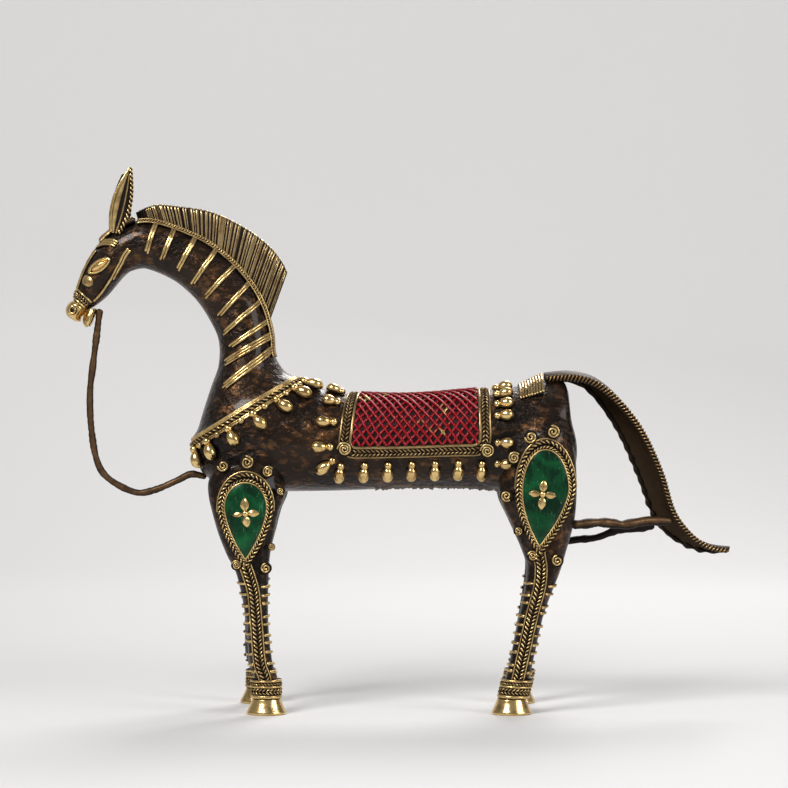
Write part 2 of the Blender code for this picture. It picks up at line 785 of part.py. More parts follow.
def make_neck(neck, parent):
    """The neck, the comb of the mane and the cords on both sides."""
    add("neck", neck.mesh(np.linspace(0, 1, 20), 14), "bronze", parent)

    rows = np.linspace(1 - MANE_START, 1 - MANE_END, MANE_RIBS * 2 + 1)
    loops = []
    for i, t in enumerate(rows):
        share = i / (len(rows) - 1)
        foot = neck.on(t, 0.0, SEAT_GAP)
        turned = min(max((share - MANE_FAN_START) / MANE_FAN_SHARE, 0.0), 1.0)
        lean = MANE_LEAN + MANE_FAN * math.cos(math.pi * turned)
        rise = MANE_HEIGHT * (MANE_FRONT_SHARE + (1 - MANE_FRONT_SHARE) * share)
        rib = i % 2
        tip = foot + np.array([math.cos(lean), 0, math.sin(lean)]) * (rise - MANE_RIB_DEPTH * (1 - rib))
        low = MANE_THICKNESS / 2 - MANE_RIB_DEPTH * (1 - rib)
        high = low * 0.62
        side = np.array([0, 1.0, 0])
        loops.append([foot - side * low, tip - side * high, tip + side * high, foot + side * low])
    add("mane_comb", loft(loops), "copper", parent, smooth=20)

    path, normals = [], []
    for t in np.linspace(1 - MANE_START, 0.22, 13):
        angle = crest_angle(neck, t)
        path.append(neck.on(t, angle, SEAT_GAP * 2))
        normals.append(neck.normal(t, angle))
    crest = sweep(path, normals, cords(2, *CREST_CORDS))
    strands = []
    for top, bottom, reach in (
        (0.858, 0.862, 114),
        (0.785, 0.770, 119),
        (0.710, 0.692, 125),
        (0.639, 0.623, 132),
        (0.574, 0.566, 131),
        (0.510, 0.489, 128),
        (0.440, 0.424, 136),
        (0.374, 0.366, 122),
        (0.326, 0.318, 132),
        (0.270, 0.212, 119),
    ):
        path, normals = [], []
        for share in np.linspace(0, 1, 5):
            t = top + (bottom - top) * share
            first = crest_angle(neck, t) + math.radians(2)
            angle = first + (math.radians(reach) - first) * share
            path.append(neck.on(t, angle, SEAT_GAP * 2.4))
            normals.append(neck.normal(t, angle))
        strands.append(sweep(path, normals, cords(1, *STRAND_CORDS)))
    for side, turn in (("left", lambda shape: shape), ("right", mirrored)):
        trim = add(f"neck_cords_{side}", turn(crest), "gold", parent)
        boolean(trim, turn(joined(strands)), "UNION", f"strands_{side}")


def make_collar(body, parent):
    """The roped collar over the seam, with the drops that hang from it."""
    count = 24
    middle = COLLAR_CORDS[0] / 2 + SEAT_GAP
    path, normals = [], []
    for turn in np.linspace(0, math.tau, count, endpoint=False):
        t = body.walk(0.0, turn, middle)
        path.append(body.on(t, turn, SEAT_GAP * 1.3))
        normals.append(body.normal(t, turn))
    collar = add("collar", sweep(path, normals, cords(3, *COLLAR_CORDS), closed=True), "gold", parent)
    drops = []
    for degrees in (14, 36, 59, 83, 108, 134, 160):
        for turn in (math.radians(degrees), math.radians(-degrees)):
            t = body.walk(0.0, turn, COLLAR_CORDS[0] * 0.85)
            drops.append(drop(body, t, turn, 1, 0, COLLAR_DROP_LENGTH))
    boolean(collar, joined(drops), "UNION", "collar_drops")


def saddle_share(body, x, angle):
    """The body's share t at a place of the saddle, whose front edge slants forward on its way down."""
    rear = CHEST_X + BODY_LENGTH * SADDLE_FRONT + SADDLE_LENGTH
    slant = SADDLE_SLANT * abs(angle) / SADDLE_SPREAD * (rear - x) / SADDLE_LENGTH
    return body.share_at(0, x - max(slant, 0.0), angle)


def saddle_point(body, x, angle, lift):
    """A point over the barrel at a place along the saddle and an angle from the back."""
    t = saddle_share(body, x, angle)
    return body.on(t, angle, lift), body.normal(t, angle)


def make_saddle(body, parent):
    """The lattice saddle cloth and its roped border with drops and corner scrolls."""
    front = CHEST_X + BODY_LENGTH * SADDLE_FRONT
    rear = front + SADDLE_LENGTH
    rows, columns = LATTICE_LONG * 2 + 1, LATTICE_ROUND + 1
    inner, outer = np.zeros((2, rows, columns, 3))
    inset = BORDER_WIDTH * 0.14
    spread = SADDLE_SPREAD - inset / (BARREL_WIDTH / 2)
    for i, x in enumerate(np.linspace(front + inset, rear - inset, rows)):
        for k, angle in enumerate(np.linspace(-spread, spread, columns)):
            crest = LATTICE_RELIEF if (i + k) % 2 == 0 else 0.0
            inner[i, k], _ = saddle_point(body, x, angle, SEAT_GAP * 1.6)
            outer[i, k], _ = saddle_point(body, x, angle, SEAT_GAP * 1.6 + LATTICE_THICKNESS + crest)
    add("saddle_lattice", lattice(inner, outer, 4), "red", parent, smooth=15)

    half = BORDER_WIDTH / 2 + SEAT_GAP
    around = half / (BARREL_WIDTH / 2)
    x0, x1 = front - half, rear + half
    a1 = SADDLE_SPREAD + around
    path, normals = [], []
    for x, angle in frame_path(x0, x1, a1, BARREL_WIDTH / 2):
        point, out = saddle_point(body, x, angle, SEAT_GAP * 1.6)
        path.append(point)
        normals.append(out)
    border = add(
        "saddle_border",
        sweep(path, normals, cords(3, *BORDER_CORDS), closed=True),
        "gold",
        parent,
    )
    fringe = []
    below = a1 + around * 0.5
    for x in np.linspace(x0 + FRINGE_FRONT_MARGIN, x1 - FRINGE_REAR_MARGIN, 7):
        for side in (1, -1):
            t = saddle_share(body, x, side * below)
            fringe.append(drop(body, t, side * below, 0, side, FRINGE_DROP_LENGTH))
    for degrees, length in ((10, 1.00), (38, 1.00), (66, 1.15), (94, 1.20)):
        for side in (1, -1):
            angle = side * math.radians(degrees)
            t = saddle_share(body, x0 - half * 0.5, angle)
            fringe.append(drop(body, t, angle, -1, 0, SIDE_DROP_LENGTH * length))
    for degrees in (13, 33, 56, 84):
        for side in (1, -1):
            angle = side * math.radians(degrees)
            t = saddle_share(body, x1 + half * 0.5, angle)
            fringe.append(drop(body, t, angle, 1, 0, SIDE_DROP_LENGTH))
    boolean(border, joined(fringe), "UNION", "saddle_drops")
    scrolls = []
    for x in (x0, x1):
        for side in (1, -1):
            place, out = saddle_point(body, x, side * a1, SEAT_GAP * 2 + BORDER_CORDS[1] * 0.3)
            scrolls.append(scroll(place, out, CORNER_SCROLL_RADIUS))
    boolean(border, joined(scrolls), "UNION", "saddle_scrolls")


def frame_path(x0, x1, a1, radius):
    """Round the saddle's edge: x and angle of a rectangle with rounded corners."""
    corner, turn = BORDER_CORNER, BORDER_CORNER / radius
    path = []
    quarter = (0.0, math.pi / 4, math.pi / 2)
    for cx, cy, first in (
        (x1 - corner, a1 - turn, 0.0),
        (x0 + corner, a1 - turn, math.pi / 2),
        (x0 + corner, -a1 + turn, math.pi),
        (x1 - corner, -a1 + turn, 3 * math.pi / 2),
    ):
        for part in quarter:
            path.append((cx + corner * math.cos(first + part), cy + turn * math.sin(first + part)))
        if first in (math.pi / 2, 3 * math.pi / 2):
            way = 1 if first == math.pi / 2 else -1
            x = x0 if way == 1 else x1
            for share in np.linspace(0, 1, 11)[1:-1]:
                path.append((x, way * (a1 - turn) * (1 - 2 * share)))
        else:
            way = -1 if first == 0.0 else 1
            angle = a1 if way == -1 else -a1
            span = x1 - x0 - 2 * corner
            for share in np.linspace(0, 1, 5)[1:-1]:
                start = x1 - corner if way == -1 else x0 + corner
                path.append((start + way * span * share, angle))
    return path


def scroll(place, out, radius, sides=7):
    """A flat coiled scroll with a sloping rim."""
    side = np.cross(out, (0.0, 0.0, 1.0))
    side /= np.linalg.norm(side)
    up = np.cross(side, out)
    loops = []
    for share, height in ((1.0, 0.0), (0.74, 1.0)):
        loops.append([
            place
            + (side * math.cos(math.tau * k / sides) + up * math.sin(math.tau * k / sides)) * radius * share
            + out * SCROLL_HEIGHT * height
            for k in range(sides)
        ])
    return loft(loops)


def make_crupper(body, parent):
    """The ribbed wrap over the rump that binds the foot of the tail."""
    front = CHEST_X + BODY_LENGTH * CRUPPER_FRONT
    rows, columns = CRUPPER_RIBS * 2 + 1, 5
    inner, outer = np.zeros((2, rows, columns, 3))
    for i, x in enumerate(np.linspace(front, front + CRUPPER_LENGTH, rows)):
        rib = CRUPPER_THICKNESS * (1.0 if i % 2 else 0.55) + CRUPPER_SWELL * i / (rows - 1)
        for k, angle in enumerate(np.linspace(-CRUPPER_SPREAD, CRUPPER_SPREAD, columns)):
            t = body.share_at(0, x, angle)
            inner[i, k] = body.on(t, angle, SEAT_GAP * 2)
            outer[i, k] = body.on(t, angle, SEAT_GAP * 2 + rib * math.cos(angle) ** 2)
    add("crupper", plate(inner, outer, lambda r, c: True), "gold", parent, smooth=20)


def tail_line(body):
    """The tail's outer line from the rump, over its arch and down to the upturned tip."""
    rump = body.core(0.84, 0.0)
    return [
        (rump[0] + dx, rump[2] + dz)
        for dx, dz in (
            (-0.0062, 0.0038),
            (0.0060, 0.0050),
            (0.0182, 0.0025),
            (0.0304, -0.0068),
            (0.0417, -0.0215),
            (0.0508, -0.0416),
            (0.0560, -0.0591),
            (0.0625, -0.0689),
            (0.0700, -0.0750),
            (0.0802, -0.0776),
        )
    ]


def curve_through(points, count):
    """Evenly shared points on a Catmull-Rom curve through a list of (x, z)."""
    table = [(x, z, x, z, 0.0, 0.0) for x, z in points]
    line = Form(table)
    return np.array([line.station(t)[:2] for t in np.linspace(0, 1, count)])


def make_tail(body, leg, parent):
    """The arched tail band with roped edges, and the two knobbly braces down to the thighs."""
    count = 20
    line = curve_through(tail_line(body), count)
    ahead = np.gradient(line, axis=0)
    ahead /= np.linalg.norm(ahead, axis=1)[:, None]
    loops = []
    for i, (x, z) in enumerate(line):
        share = i / (count - 1)
        out = np.array([-ahead[i, 1], 0.0, ahead[i, 0]])
        if out[2] < 0:
            out = -out
        side = np.array([0.0, 1.0, 0.0])
        tilt = TAIL_TILT * math.sin(math.pi * share ** 1.6)
        near = side * -math.cos(tilt) + out * math.sin(tilt)
        lift = np.cross(near, np.array([ahead[i, 0], 0.0, ahead[i, 1]]))
        if np.dot(lift, out) < 0:
            lift = -lift
        half = TAIL_WIDTH / 2 * (0.80 + 0.55 * math.sin(math.pi * share ** 0.8) - 0.42 * share)
        rope = TAIL_ROPE * (1.0 - 0.35 * share)
        sag = half * 0.30
        centre = np.array([x, 0.0, z]) - out * (rope + (half - rope) * math.sin(tilt))
        outline = (
            (half, 0.1 * rope - sag),
            (half - 0.35 * rope, 0.95 * rope - sag),
            (half - 1.4 * rope, 0.75 * rope - sag * 0.5),
            (0.0, TAIL_WALL),
            (-half + 1.4 * rope, 0.75 * rope - sag * 0.5),
            (-half + 0.35 * rope, 0.95 * rope - sag),
            (-half, 0.1 * rope - sag),
            (-half + 0.35 * rope, -0.75 * rope - sag),
            (-half + 1.4 * rope, -0.35 * rope - sag * 0.5),
            (0.0, 0.0),
            (half - 1.4 * rope, -0.35 * rope - sag * 0.5),
            (half - 0.35 * rope, -0.75 * rope - sag),
        )
        loops.append([centre + near * a + lift * b for a, b in outline])
    add("tail", loft(loops), "copper", parent)

    end = line[np.argmin(np.abs(line[:, 1] - BRACE_HEIGHT))]
    for side, sign, shift, height, radius, reach in (
        ("left", -1, 0.0, BRACE_HEIGHT, BRACE_RADIUS, BRACE_REACH),
        ("right", 1, HIND_STAGGER, FAR_BRACE_HEIGHT, FAR_BRACE_RADIUS, FAR_BRACE_REACH),
    ):
        thigh = leg.core(leg.share_at(2, height, math.pi), math.pi)
        slant = shift * (1 - height / BELLY_HEIGHT)
        start = np.array([thigh[0] + slant + SEAT_GAP + radius * 0.4, -sign * thigh[1], height])
        rise = 0.0010 + (BRACE_HEIGHT - height) * 0.78
        finish = np.array([end[0] - reach, sign * BRACE_PARTING, height + rise])
        path, scales = [], []
        for share in np.linspace(0, 1, 9):
            ripple = 0.0020 * min(share, 1 - share) * math.sin(share * 11.0 + sign)
            path.append(start + (finish - start) * share + np.array([0, 0, ripple]))
            scales.append(radius * (1.0 + 0.14 * math.sin(share * 23.0 + sign)))
        rod = sweep(path, [(0, 1.0, 0)] * 9, circle(7), scales=scales)
        add(f"tail_brace_{side}", rod, "copper", parent)


def make_rein(body, jaw, parent):
    """The cast rein: from behind the chin, down in a long bow and back up to the chest."""
    top = jaw.core(0.12, math.pi)
    foot = body.core(0.185, math.pi)
    start = np.array([top[0] + REIN_RADIUS + SEAT_GAP, top[2] + 0.0015])
    finish = np.array([foot[0] - REIN_RADIUS - SEAT_GAP, foot[2]])
    route = (
        (0.0, 0.0),
        (-0.024, 0.129),
        (-0.067, 0.348),
        (-0.092, 0.502),
        (-0.081, 0.703),
        (-0.025, 0.906),
        (0.089, 1.011),
        (0.331, 1.089),
        (0.513, 1.076),
        (0.725, 1.020),
        (0.859, 0.982),
        (1.0, 1.0),
    )
    count = 20
    line = curve_through([start + (finish - start) * share for share in np.array(route)], count)
    path = [(x, 0.0, z) for x, z in line]
    profile = [(a * 1.12, b) for a, b in circle(6)]
    add("rein", sweep(path, [(0, 1.0, 0)] * count, profile, scales=[REIN_RADIUS] * count), "copper", parent)


def tear(turn, size, grow, lean=0.0):
    """A point of a teardrop outline: round above, drawn to a point below."""
    width, above, below = size
    half = width / 2 + grow
    s = math.cos(turn)
    if s >= 0:
        return half * math.sin(turn), (above + grow * 1.5) * s
    depth = -s
    side = math.copysign(1.0, math.sin(turn)) if abs(math.sin(turn)) > 1e-6 else 0.0
    u = side * half * (1 - depth ** 1.7)
    v = -(below + grow * 1.35) * depth
    return u + lean * depth, v


def make_medallion(name, size, centre, lean, flower, scrolls, parent):
    """A cast cell with a double roped frame and a flower, filled with an enamel panel."""
    x, z = centre
    slope = (SEAT_AT_TOP - SEAT_AT_FOOT) / (SEAT_TOP_HEIGHT - SEAT_FOOT_HEIGHT)
    up = np.array([0.0, -slope, 1.0])
    up /= np.linalg.norm(up)
    fore = np.array([1.0, 0.0, 0.0])
    out = np.cross(fore, up)
    foot = np.array([x, -seat_distance(z), z]) + out * SEAT_GAP
    sides = 16
    turns = [math.tau * k / sides for k in range(sides)]
    plate_top = PLATE_THICKNESS
    enamel_low = plate_top + SEAT_GAP
    enamel_high = enamel_low + ENAMEL_THICKNESS
    petal_low = enamel_high + SEAT_GAP * 1.3

    def place(across, along, height):
        return foot + fore * across + up * along + out * height

    def outline(grow, height):
        return [place(*tear(turn, size, grow, lean), height) for turn in turns]

    def ring(radius, height):
        return [
            place(flower[0] + radius * math.sin(turn), flower[1] + radius * math.cos(turn), height)
            for turn in turns
        ]

    def petals(height, swell):
        loop = []
        for turn in turns:
            waist = STEM_RADIUS * 1.3
            reach = waist + (PETAL_LENGTH * swell - waist) * abs(math.cos(2 * turn)) ** 2.2
            loop.append(place(flower[0] + reach * math.sin(turn), flower[1] + reach * math.cos(turn), height))
        return loop

    cell = loft([
        outline(FRAME_WIDTH, 0.0),
        outline(FRAME_WIDTH, FRAME_HEIGHT * 0.62),
        outline(FRAME_WIDTH * 0.76, FRAME_HEIGHT),
        outline(FRAME_WIDTH * 0.52, FRAME_HEIGHT * 0.72),
        outline(FRAME_WIDTH * 0.30, FRAME_HEIGHT),
        outline(SEAT_GAP, plate_top),
        ring(STEM_RADIUS, plate_top),
        ring(STEM_RADIUS, petal_low),
        petals(petal_low, 1.0),
        petals(petal_low + PETAL_HEIGHT, 0.86),
        ring(STEM_RADIUS * 0.8, petal_low + PETAL_HEIGHT * 2.2),
    ])
    panel = loft([
        outline(0.0, enamel_low),
        outline(0.0, enamel_high - SEAT_GAP),
        outline(-size[0] * 0.12, enamel_high),
        ring(STEM_RADIUS + SEAT_GAP, enamel_high),
        ring(STEM_RADIUS + SEAT_GAP, enamel_low),
    ], closed=True)
    bosses = []
    for degrees, radius in scrolls:
        turn = math.radians(degrees)
        u, v = tear(turn, size, FRAME_WIDTH + radius * 0.55, lean)
        bosses.append(scroll(place(u, v, SEAT_GAP), out, radius, sides=6))
    shift = FRONT_STAGGER if name == "front" else HIND_STAGGER
    for side, turn_over in (("left", lambda shape: shape), ("right", lambda shape: mirrored(shape, shift))):
        frame = add(f"medallion_{name}_{side}", turn_over(cell), "gold", parent)
        boolean(frame, turn_over(joined(bosses)), "UNION", f"scrolls_{name}_{side}")
        add(f"enamel_{name}_{side}", turn_over(panel), "green", parent)


def make_leg(name, leg, body, centre, shift, parent):
    """The leg on each side, with its hoof, fetlock cuff and roped greave."""
    shape = leg.mesh(np.linspace(0, 1, 13), 10)
    hollow = body.mesh(BODY_RIBS, BODY_SIDES, grow=SEAT_GAP * 1.2)
    hoof = hoof_shape(centre)
    cuff = cuff_shape(leg)
    greave = greave_shape(leg)
    for side, turn in (("left", lambda part: part), ("right", lambda part: mirrored(part, shift))):
        limb = add(f"{name}_leg_{side}", turn(shape), "bronze", parent)
        boolean(limb, hollow, "DIFFERENCE", f"{name}_cope_{side}")
        add(f"{name}_hoof_{side}", turn(hoof), "gold", parent)
        add(f"{name}_cuff_{side}", turn(cuff), "gold", parent)
        add(f"{name}_greave_{side}", turn(greave), "gold", parent)


def hoof_shape(x):
    """A flared hoof with a flat sole."""
    loops = []
    for height, share in ((0.0, 0.94), (0.12, 1.0), (0.42, 0.90), (1.0, 0.72)):
        loops.append([
            (
                x + HOOF_LENGTH / 2 * share * math.cos(math.tau * k / 12),
                -TRACK / 2 + HOOF_WIDTH / 2 * share * math.sin(math.tau * k / 12),
                HOOF_HEIGHT * height,
            )
            for k in range(12)
        ])
    return loft(loops)


def cuff_shape(leg):
    """A cuff of ringed cords round the fetlock, standing on the hoof."""
    loops = []
    for k in range(10):
        turn = math.tau * k / 10
        loop = []
        for height, wall in ((0.0, 0.0), (0.0, 0.8), (0.16, 1.0), (0.50, 0.66), (0.84, 1.0), (1.0, 0.0)):
            z = HOOF_HEIGHT + SEAT_GAP + CUFF_HEIGHT * height
            t = leg.share_at(2, z, turn)
            loop.append(leg.core(t, turn, SEAT_GAP * 1.4 + CUFF_WALL * wall))
            loop[-1][2] = z
        loops.append(loop)
    return loft(loops, closed=True)


def greave_shape(leg):
    """The twin rope down the outside of the leg, with rungs that reach round both edges."""
    foot = HOOF_HEIGHT + CUFF_HEIGHT + SEAT_GAP * 3
    top = SEAT_FOOT_HEIGHT - 0.0062
    pitch = (top - foot) / RUNG_COUNT
    heights = []
    for k in range(RUNG_COUNT):
        low = foot + pitch * (k + 0.5) - RUNG_HEIGHT / 2
        heights += [low, low + RUNG_HEIGHT]
    heights = [foot, *heights, top]
    half = math.degrees(LEG_ROPE_WIDTH / LEG_THICKNESS)
    degrees = (28, 90 - half, 90, 90 + half, 152)
    relief = (RUNG_RELIEF, RUNG_RELIEF, LEG_ROPE_RELIEF, RUNG_RELIEF, RUNG_RELIEF)
    rows, columns = len(heights), len(degrees)
    inner, outer = np.zeros((2, rows, columns, 3))
    for i, z in enumerate(heights):
        for k, angle in enumerate(degrees):
            t = leg.share_at(2, z, math.radians(angle))
            inner[i, k] = leg.on(t, math.radians(angle), SEAT_GAP * 2)
            outer[i, k] = leg.on(t, math.radians(angle), SEAT_GAP * 2 + relief[k])
    rope = (1, 2)
    return plate(inner, outer, lambda r, c: c in rope or r % 2 == 1)


def main():
    """Build the horse."""
    for leftover in list(bpy.data.objects):
        bpy.data.objects.remove(leftover)
    horse = bpy.data.objects.new("horse", None)
    bpy.context.collection.objects.link(horse)

    body = body_form()
    neck = neck_form(body)
    head = head_form(neck)
    muzzle = muzzle_form(head)
    jaw = jaw_form(head)
    legs = {"front": front_leg_form(), "hind": hind_leg_form()}

    make_body(body, horse)
    make_neck(neck, horse)
    make_head(head, muzzle, jaw, horse)
    make_collar(body, horse)
    make_saddle(body, horse)
    make_crupper(body, horse)
    make_tail(body, legs["hind"], horse)
    make_rein(body, jaw, horse)
    front_x, hind_x = CHEST_X + FRONT_LEG_SETBACK, CHEST_X + HIND_LEG_SETBACK
    make_leg("front", legs["front"], body, front_x, FRONT_STAGGER, horse)
    make_leg("hind", legs["hind"], body, hind_x, HIND_STAGGER, horse)
    make_medallion(
        "front",
        FRONT_MEDALLION,
        (front_x + FRONT_MEDALLION_X, FRONT_MEDALLION_HEIGHT),
        0.0,
        FRONT_FLOWER,
        FRONT_SCROLLS,
        horse,
    )
    make_medallion(
        "hind",
        HIND_MEDALLION,
        (hind_x + HIND_MEDALLION_X, HIND_MEDALLION_HEIGHT),
        HIND_TIP_LEAN,
        HIND_FLOWER,
        HIND_SCROLLS,
        horse,
    )
    centre_over_origin(horse)


def centre_over_origin(horse):
    """Move the horse along X so that the origin lies under the middle of its length."""
    pieces = [piece for piece in horse.children if not piece.hide_render]
    reach = [vertex.co.x for piece in pieces for vertex in piece.data.vertices]
    horse.location.x = -(min(reach) + max(reach)) / 2


main()
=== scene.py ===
"""Looks of a lost-wax brass horse: cast cords, ropes, drops and coils over a dark patinated body.

The horse faces -X with its near side at -Y and stands on z = 0, in metres. Each limb is a
form: ribs set between two outlines of the side view. Every cord is laid on the form that
carries it by a share t of its length and an angle round it.
"""

import logging
import math
from collections.abc import Sequence
from dataclasses import dataclass, field
from enum import Enum

import bpy
import numpy as np
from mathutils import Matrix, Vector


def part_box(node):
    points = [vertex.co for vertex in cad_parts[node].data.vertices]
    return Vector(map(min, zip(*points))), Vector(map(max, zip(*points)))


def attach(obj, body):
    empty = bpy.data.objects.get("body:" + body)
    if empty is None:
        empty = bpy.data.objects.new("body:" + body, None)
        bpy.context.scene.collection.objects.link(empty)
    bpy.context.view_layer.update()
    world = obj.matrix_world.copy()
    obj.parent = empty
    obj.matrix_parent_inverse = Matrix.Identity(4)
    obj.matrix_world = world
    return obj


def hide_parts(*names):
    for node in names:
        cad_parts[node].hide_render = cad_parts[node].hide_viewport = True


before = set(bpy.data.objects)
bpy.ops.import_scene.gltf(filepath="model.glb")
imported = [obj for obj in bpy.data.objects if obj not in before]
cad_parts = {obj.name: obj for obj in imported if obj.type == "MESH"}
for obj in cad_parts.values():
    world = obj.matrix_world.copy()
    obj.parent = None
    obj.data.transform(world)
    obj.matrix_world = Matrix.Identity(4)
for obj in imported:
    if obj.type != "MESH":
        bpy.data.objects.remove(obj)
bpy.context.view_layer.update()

Array = np.ndarray
Colour = tuple[float, float, float]
Table = Sequence[Sequence[float]]

TAU = math.tau
SEAT_GAP = 0.0003
BRAID_GAP = 1.72
BACK_HEIGHT = 0.1450
BARREL_DEPTH = 0.0436
BARREL_WIDTH = 0.0430
BELLY_HEIGHT = BACK_HEIGHT - BARREL_DEPTH
BODY_LENGTH = 0.1781
TRACK = 0.0440
HOOF_HEIGHT = 0.0070
FRONT_SETBACK = 0.0357
HIND_SETBACK = 0.1476
FRONT_STAGGER = -0.0055
HIND_STAGGER = 0.0040
SEAT_FOOT_HEIGHT = 0.066
SEAT_TOP_HEIGHT = 0.128
SEAT_AT_FOOT = 0.0268
SEAT_AT_TOP = 0.0248

log = logging.getLogger("horse")


class Side(Enum):
    """The two sides of the horse."""

    LEFT = "left"
    RIGHT = "right"


class Hand(Enum):
    """Which way a rope is twisted."""

    LEFT = -1
    RIGHT = 1


def noise_line(length: Array, wave: float, seed: int) -> Array:
    """A smooth random line, for the most part between -1 and 1.

    It is the sum of four sines, scaled down. Their waves are 0.6 to 2 times the given one and
    their phases are random.

    Args:
        length: Places along the line, in metres.
        wave: The typical wave length, in metres.
        seed: The seed of the random phases.

    Returns:
        One value for each place.
    """
    draw = np.random.default_rng(seed)
    waves = wave * draw.uniform(0.6, 2.0, 4)
    phases = draw.uniform(0.0, TAU, 4)
    return np.sin(TAU * np.asarray(length)[..., None] / waves + phases).sum(-1) / 2.4


def ring_angles(count: int) -> Array:
    """Even angles once round."""
    return np.linspace(0, TAU, count, endpoint=False)


def unit(vectors: Array) -> Array:
    """Directions brought to length 1."""
    return vectors / np.linalg.norm(vectors, axis=-1, keepdims=True)


def square_to(out: Array) -> tuple[Array, Array]:
    """Two directions square to each other and to a given one."""
    side = unit(np.cross(out, (0.0, 0.0, 1.0) if abs(out[2]) < 0.9 else (1.0, 0.0, 0.0)))
    return side, np.cross(side, out)


def spokes(out: Array, turn: Array) -> Array:
    """Directions square to a given one, at some turns round it."""
    side, up = square_to(out)
    return side * np.cos(turn)[..., None] + up * np.sin(turn)[..., None]


def each_way(*degrees: float) -> list[float]:
    """Angles to the near side and to the far side, in radians."""
    return [sign * math.radians(value) for value in degrees for sign in (1, -1)]


@dataclass
class Shape:
    """Points, faces and relief: 0 in a recess and 1 on a crest that wear has polished."""

    points: Array
    quads: Array
    triangles: Array
    relief: Array

    def outward(self) -> "Shape":
        """The same shape, with its faces turned outwards where its signed volume is negative."""
        corners = np.concatenate([
            self.quads[:, [0, 1, 2]],
            self.quads[:, [0, 2, 3]],
            self.triangles,
        ])
        a, b, c = (self.points[corners[:, k]] for k in range(3))
        if np.einsum("ij,ij->", a, np.cross(b, c)) < 0:
            return self.flipped()
        return self

    def flipped(self) -> "Shape":
        """The same shape with every face turned over."""
        return Shape(self.points, self.quads[:, ::-1], self.triangles[:, ::-1], self.relief)

    def mirrored(self, stride: float = 0.0) -> "Shape":
        """The shape on the far side, slanted along X from the belly down by a stride at the foot."""
        points = self.points * np.array([1.0, -1.0, 1.0])
        points[:, 0] += stride * np.clip(1 - points[:, 2] / BELLY_HEIGHT, 0, 1)
        return Shape(points, self.quads, self.triangles, self.relief).flipped()

    def on_side(self, side: Side, stride: float = 0.0) -> "Shape":
        """The shape as drawn for the left side, or its mirror image for the right."""
        return self if side is Side.LEFT else self.mirrored(stride)

    def mesh(self, name: str) -> bpy.types.Mesh:
        """The shape as a smooth mesh with its relief as a point attribute."""
        made = bpy.data.meshes.new(name)
        counts = np.concatenate([
            np.full(len(self.quads), 4, np.int32),
            np.full(len(self.triangles), 3, np.int32),
        ])
        corners = np.concatenate([self.quads.ravel(), self.triangles.ravel()]).astype(np.int32)
        made.vertices.add(len(self.points))
        made.vertices.foreach_set("co", self.points.astype(np.float32).ravel())
        made.loops.add(len(corners))
        made.loops.foreach_set("vertex_index", corners)
        made.polygons.add(len(counts))
        made.polygons.foreach_set("loop_start", (np.cumsum(counts) - counts).astype(np.int32))
        made.update(calc_edges=True)
        made.validate()
        relief = made.attributes.new("relief", "FLOAT", "POINT")
        relief.data.foreach_set("value", self.relief.astype(np.float32))
        made.shade_smooth()
        made.set_sharp_from_angle(angle=math.radians(55))
        return made


def joined(shapes: Sequence[Shape]) -> Shape:
    """Several shapes as one."""
    starts = np.cumsum([0] + [len(shape.points) for shape in shapes[:-1]])
    return Shape(
        np.concatenate([shape.points for shape in shapes]),
        np.concatenate([shape.quads + start for shape, start in zip(shapes, starts)]),
        np.concatenate([shape.triangles + start for shape, start in zip(shapes, starts)]),
        np.concatenate([shape.relief for shape in shapes]),
    )


def skin(loops: Array, relief: Array | float = 0.5, ring: bool = False) -> Shape:
    """A closed skin through loops of points.

    Neighbouring loops are joined by quads. Unless the loops themselves form a ring, each end
    is closed by triangles to the middle of its loop.

    Args:
        loops: Points in rows, one closed loop a row.
        relief: The relief of each point, or one value for all.
        ring: Whether the last loop joins the first.

    Returns:
        The closed shape, facing out.
    """
    rows, columns = loops.shape[:2]
    here = np.arange(rows * columns).reshape(rows, columns)
    beside = np.roll(here, -1, axis=1)
    relief = np.broadcast_to(np.asarray(relief, float), (rows, columns))
    points, values = loops.reshape(-1, 3), relief.ravel()
    if ring:
        corners = (here, beside, np.roll(beside, -1, axis=0), np.roll(here, -1, axis=0))
        fans = np.zeros((0, 3), int)
    else:
        corners = (here[:-1], beside[:-1], beside[1:], here[1:])
        first, last = np.full(columns, rows * columns), np.full(columns, rows * columns + 1)
        fans = np.concatenate([
            np.stack([beside[0], here[0], first], -1),
            np.stack([here[-1], beside[-1], last], -1),
        ])
        points = np.concatenate([points, loops[[0, -1]].mean(axis=1)])
        values = np.concatenate([values, relief[[0, -1]].mean(axis=1)])
    quads = np.stack(corners, -1).reshape(-1, 4)
    return Shape(points, quads, fans, values).outward()


def shell(inner: Array, outer: Array, relief: Array | float = 0.5) -> Shape:
    """A closed plate between an inner and an outer grid: each row runs out along one and back."""
    loops = np.concatenate([outer, inner[:, ::-1]], axis=1)
    if np.ndim(relief) > 0:
        relief = np.concatenate([relief, np.asarray(relief)[:, ::-1] * 0.0], axis=1)
    return skin(loops, relief)


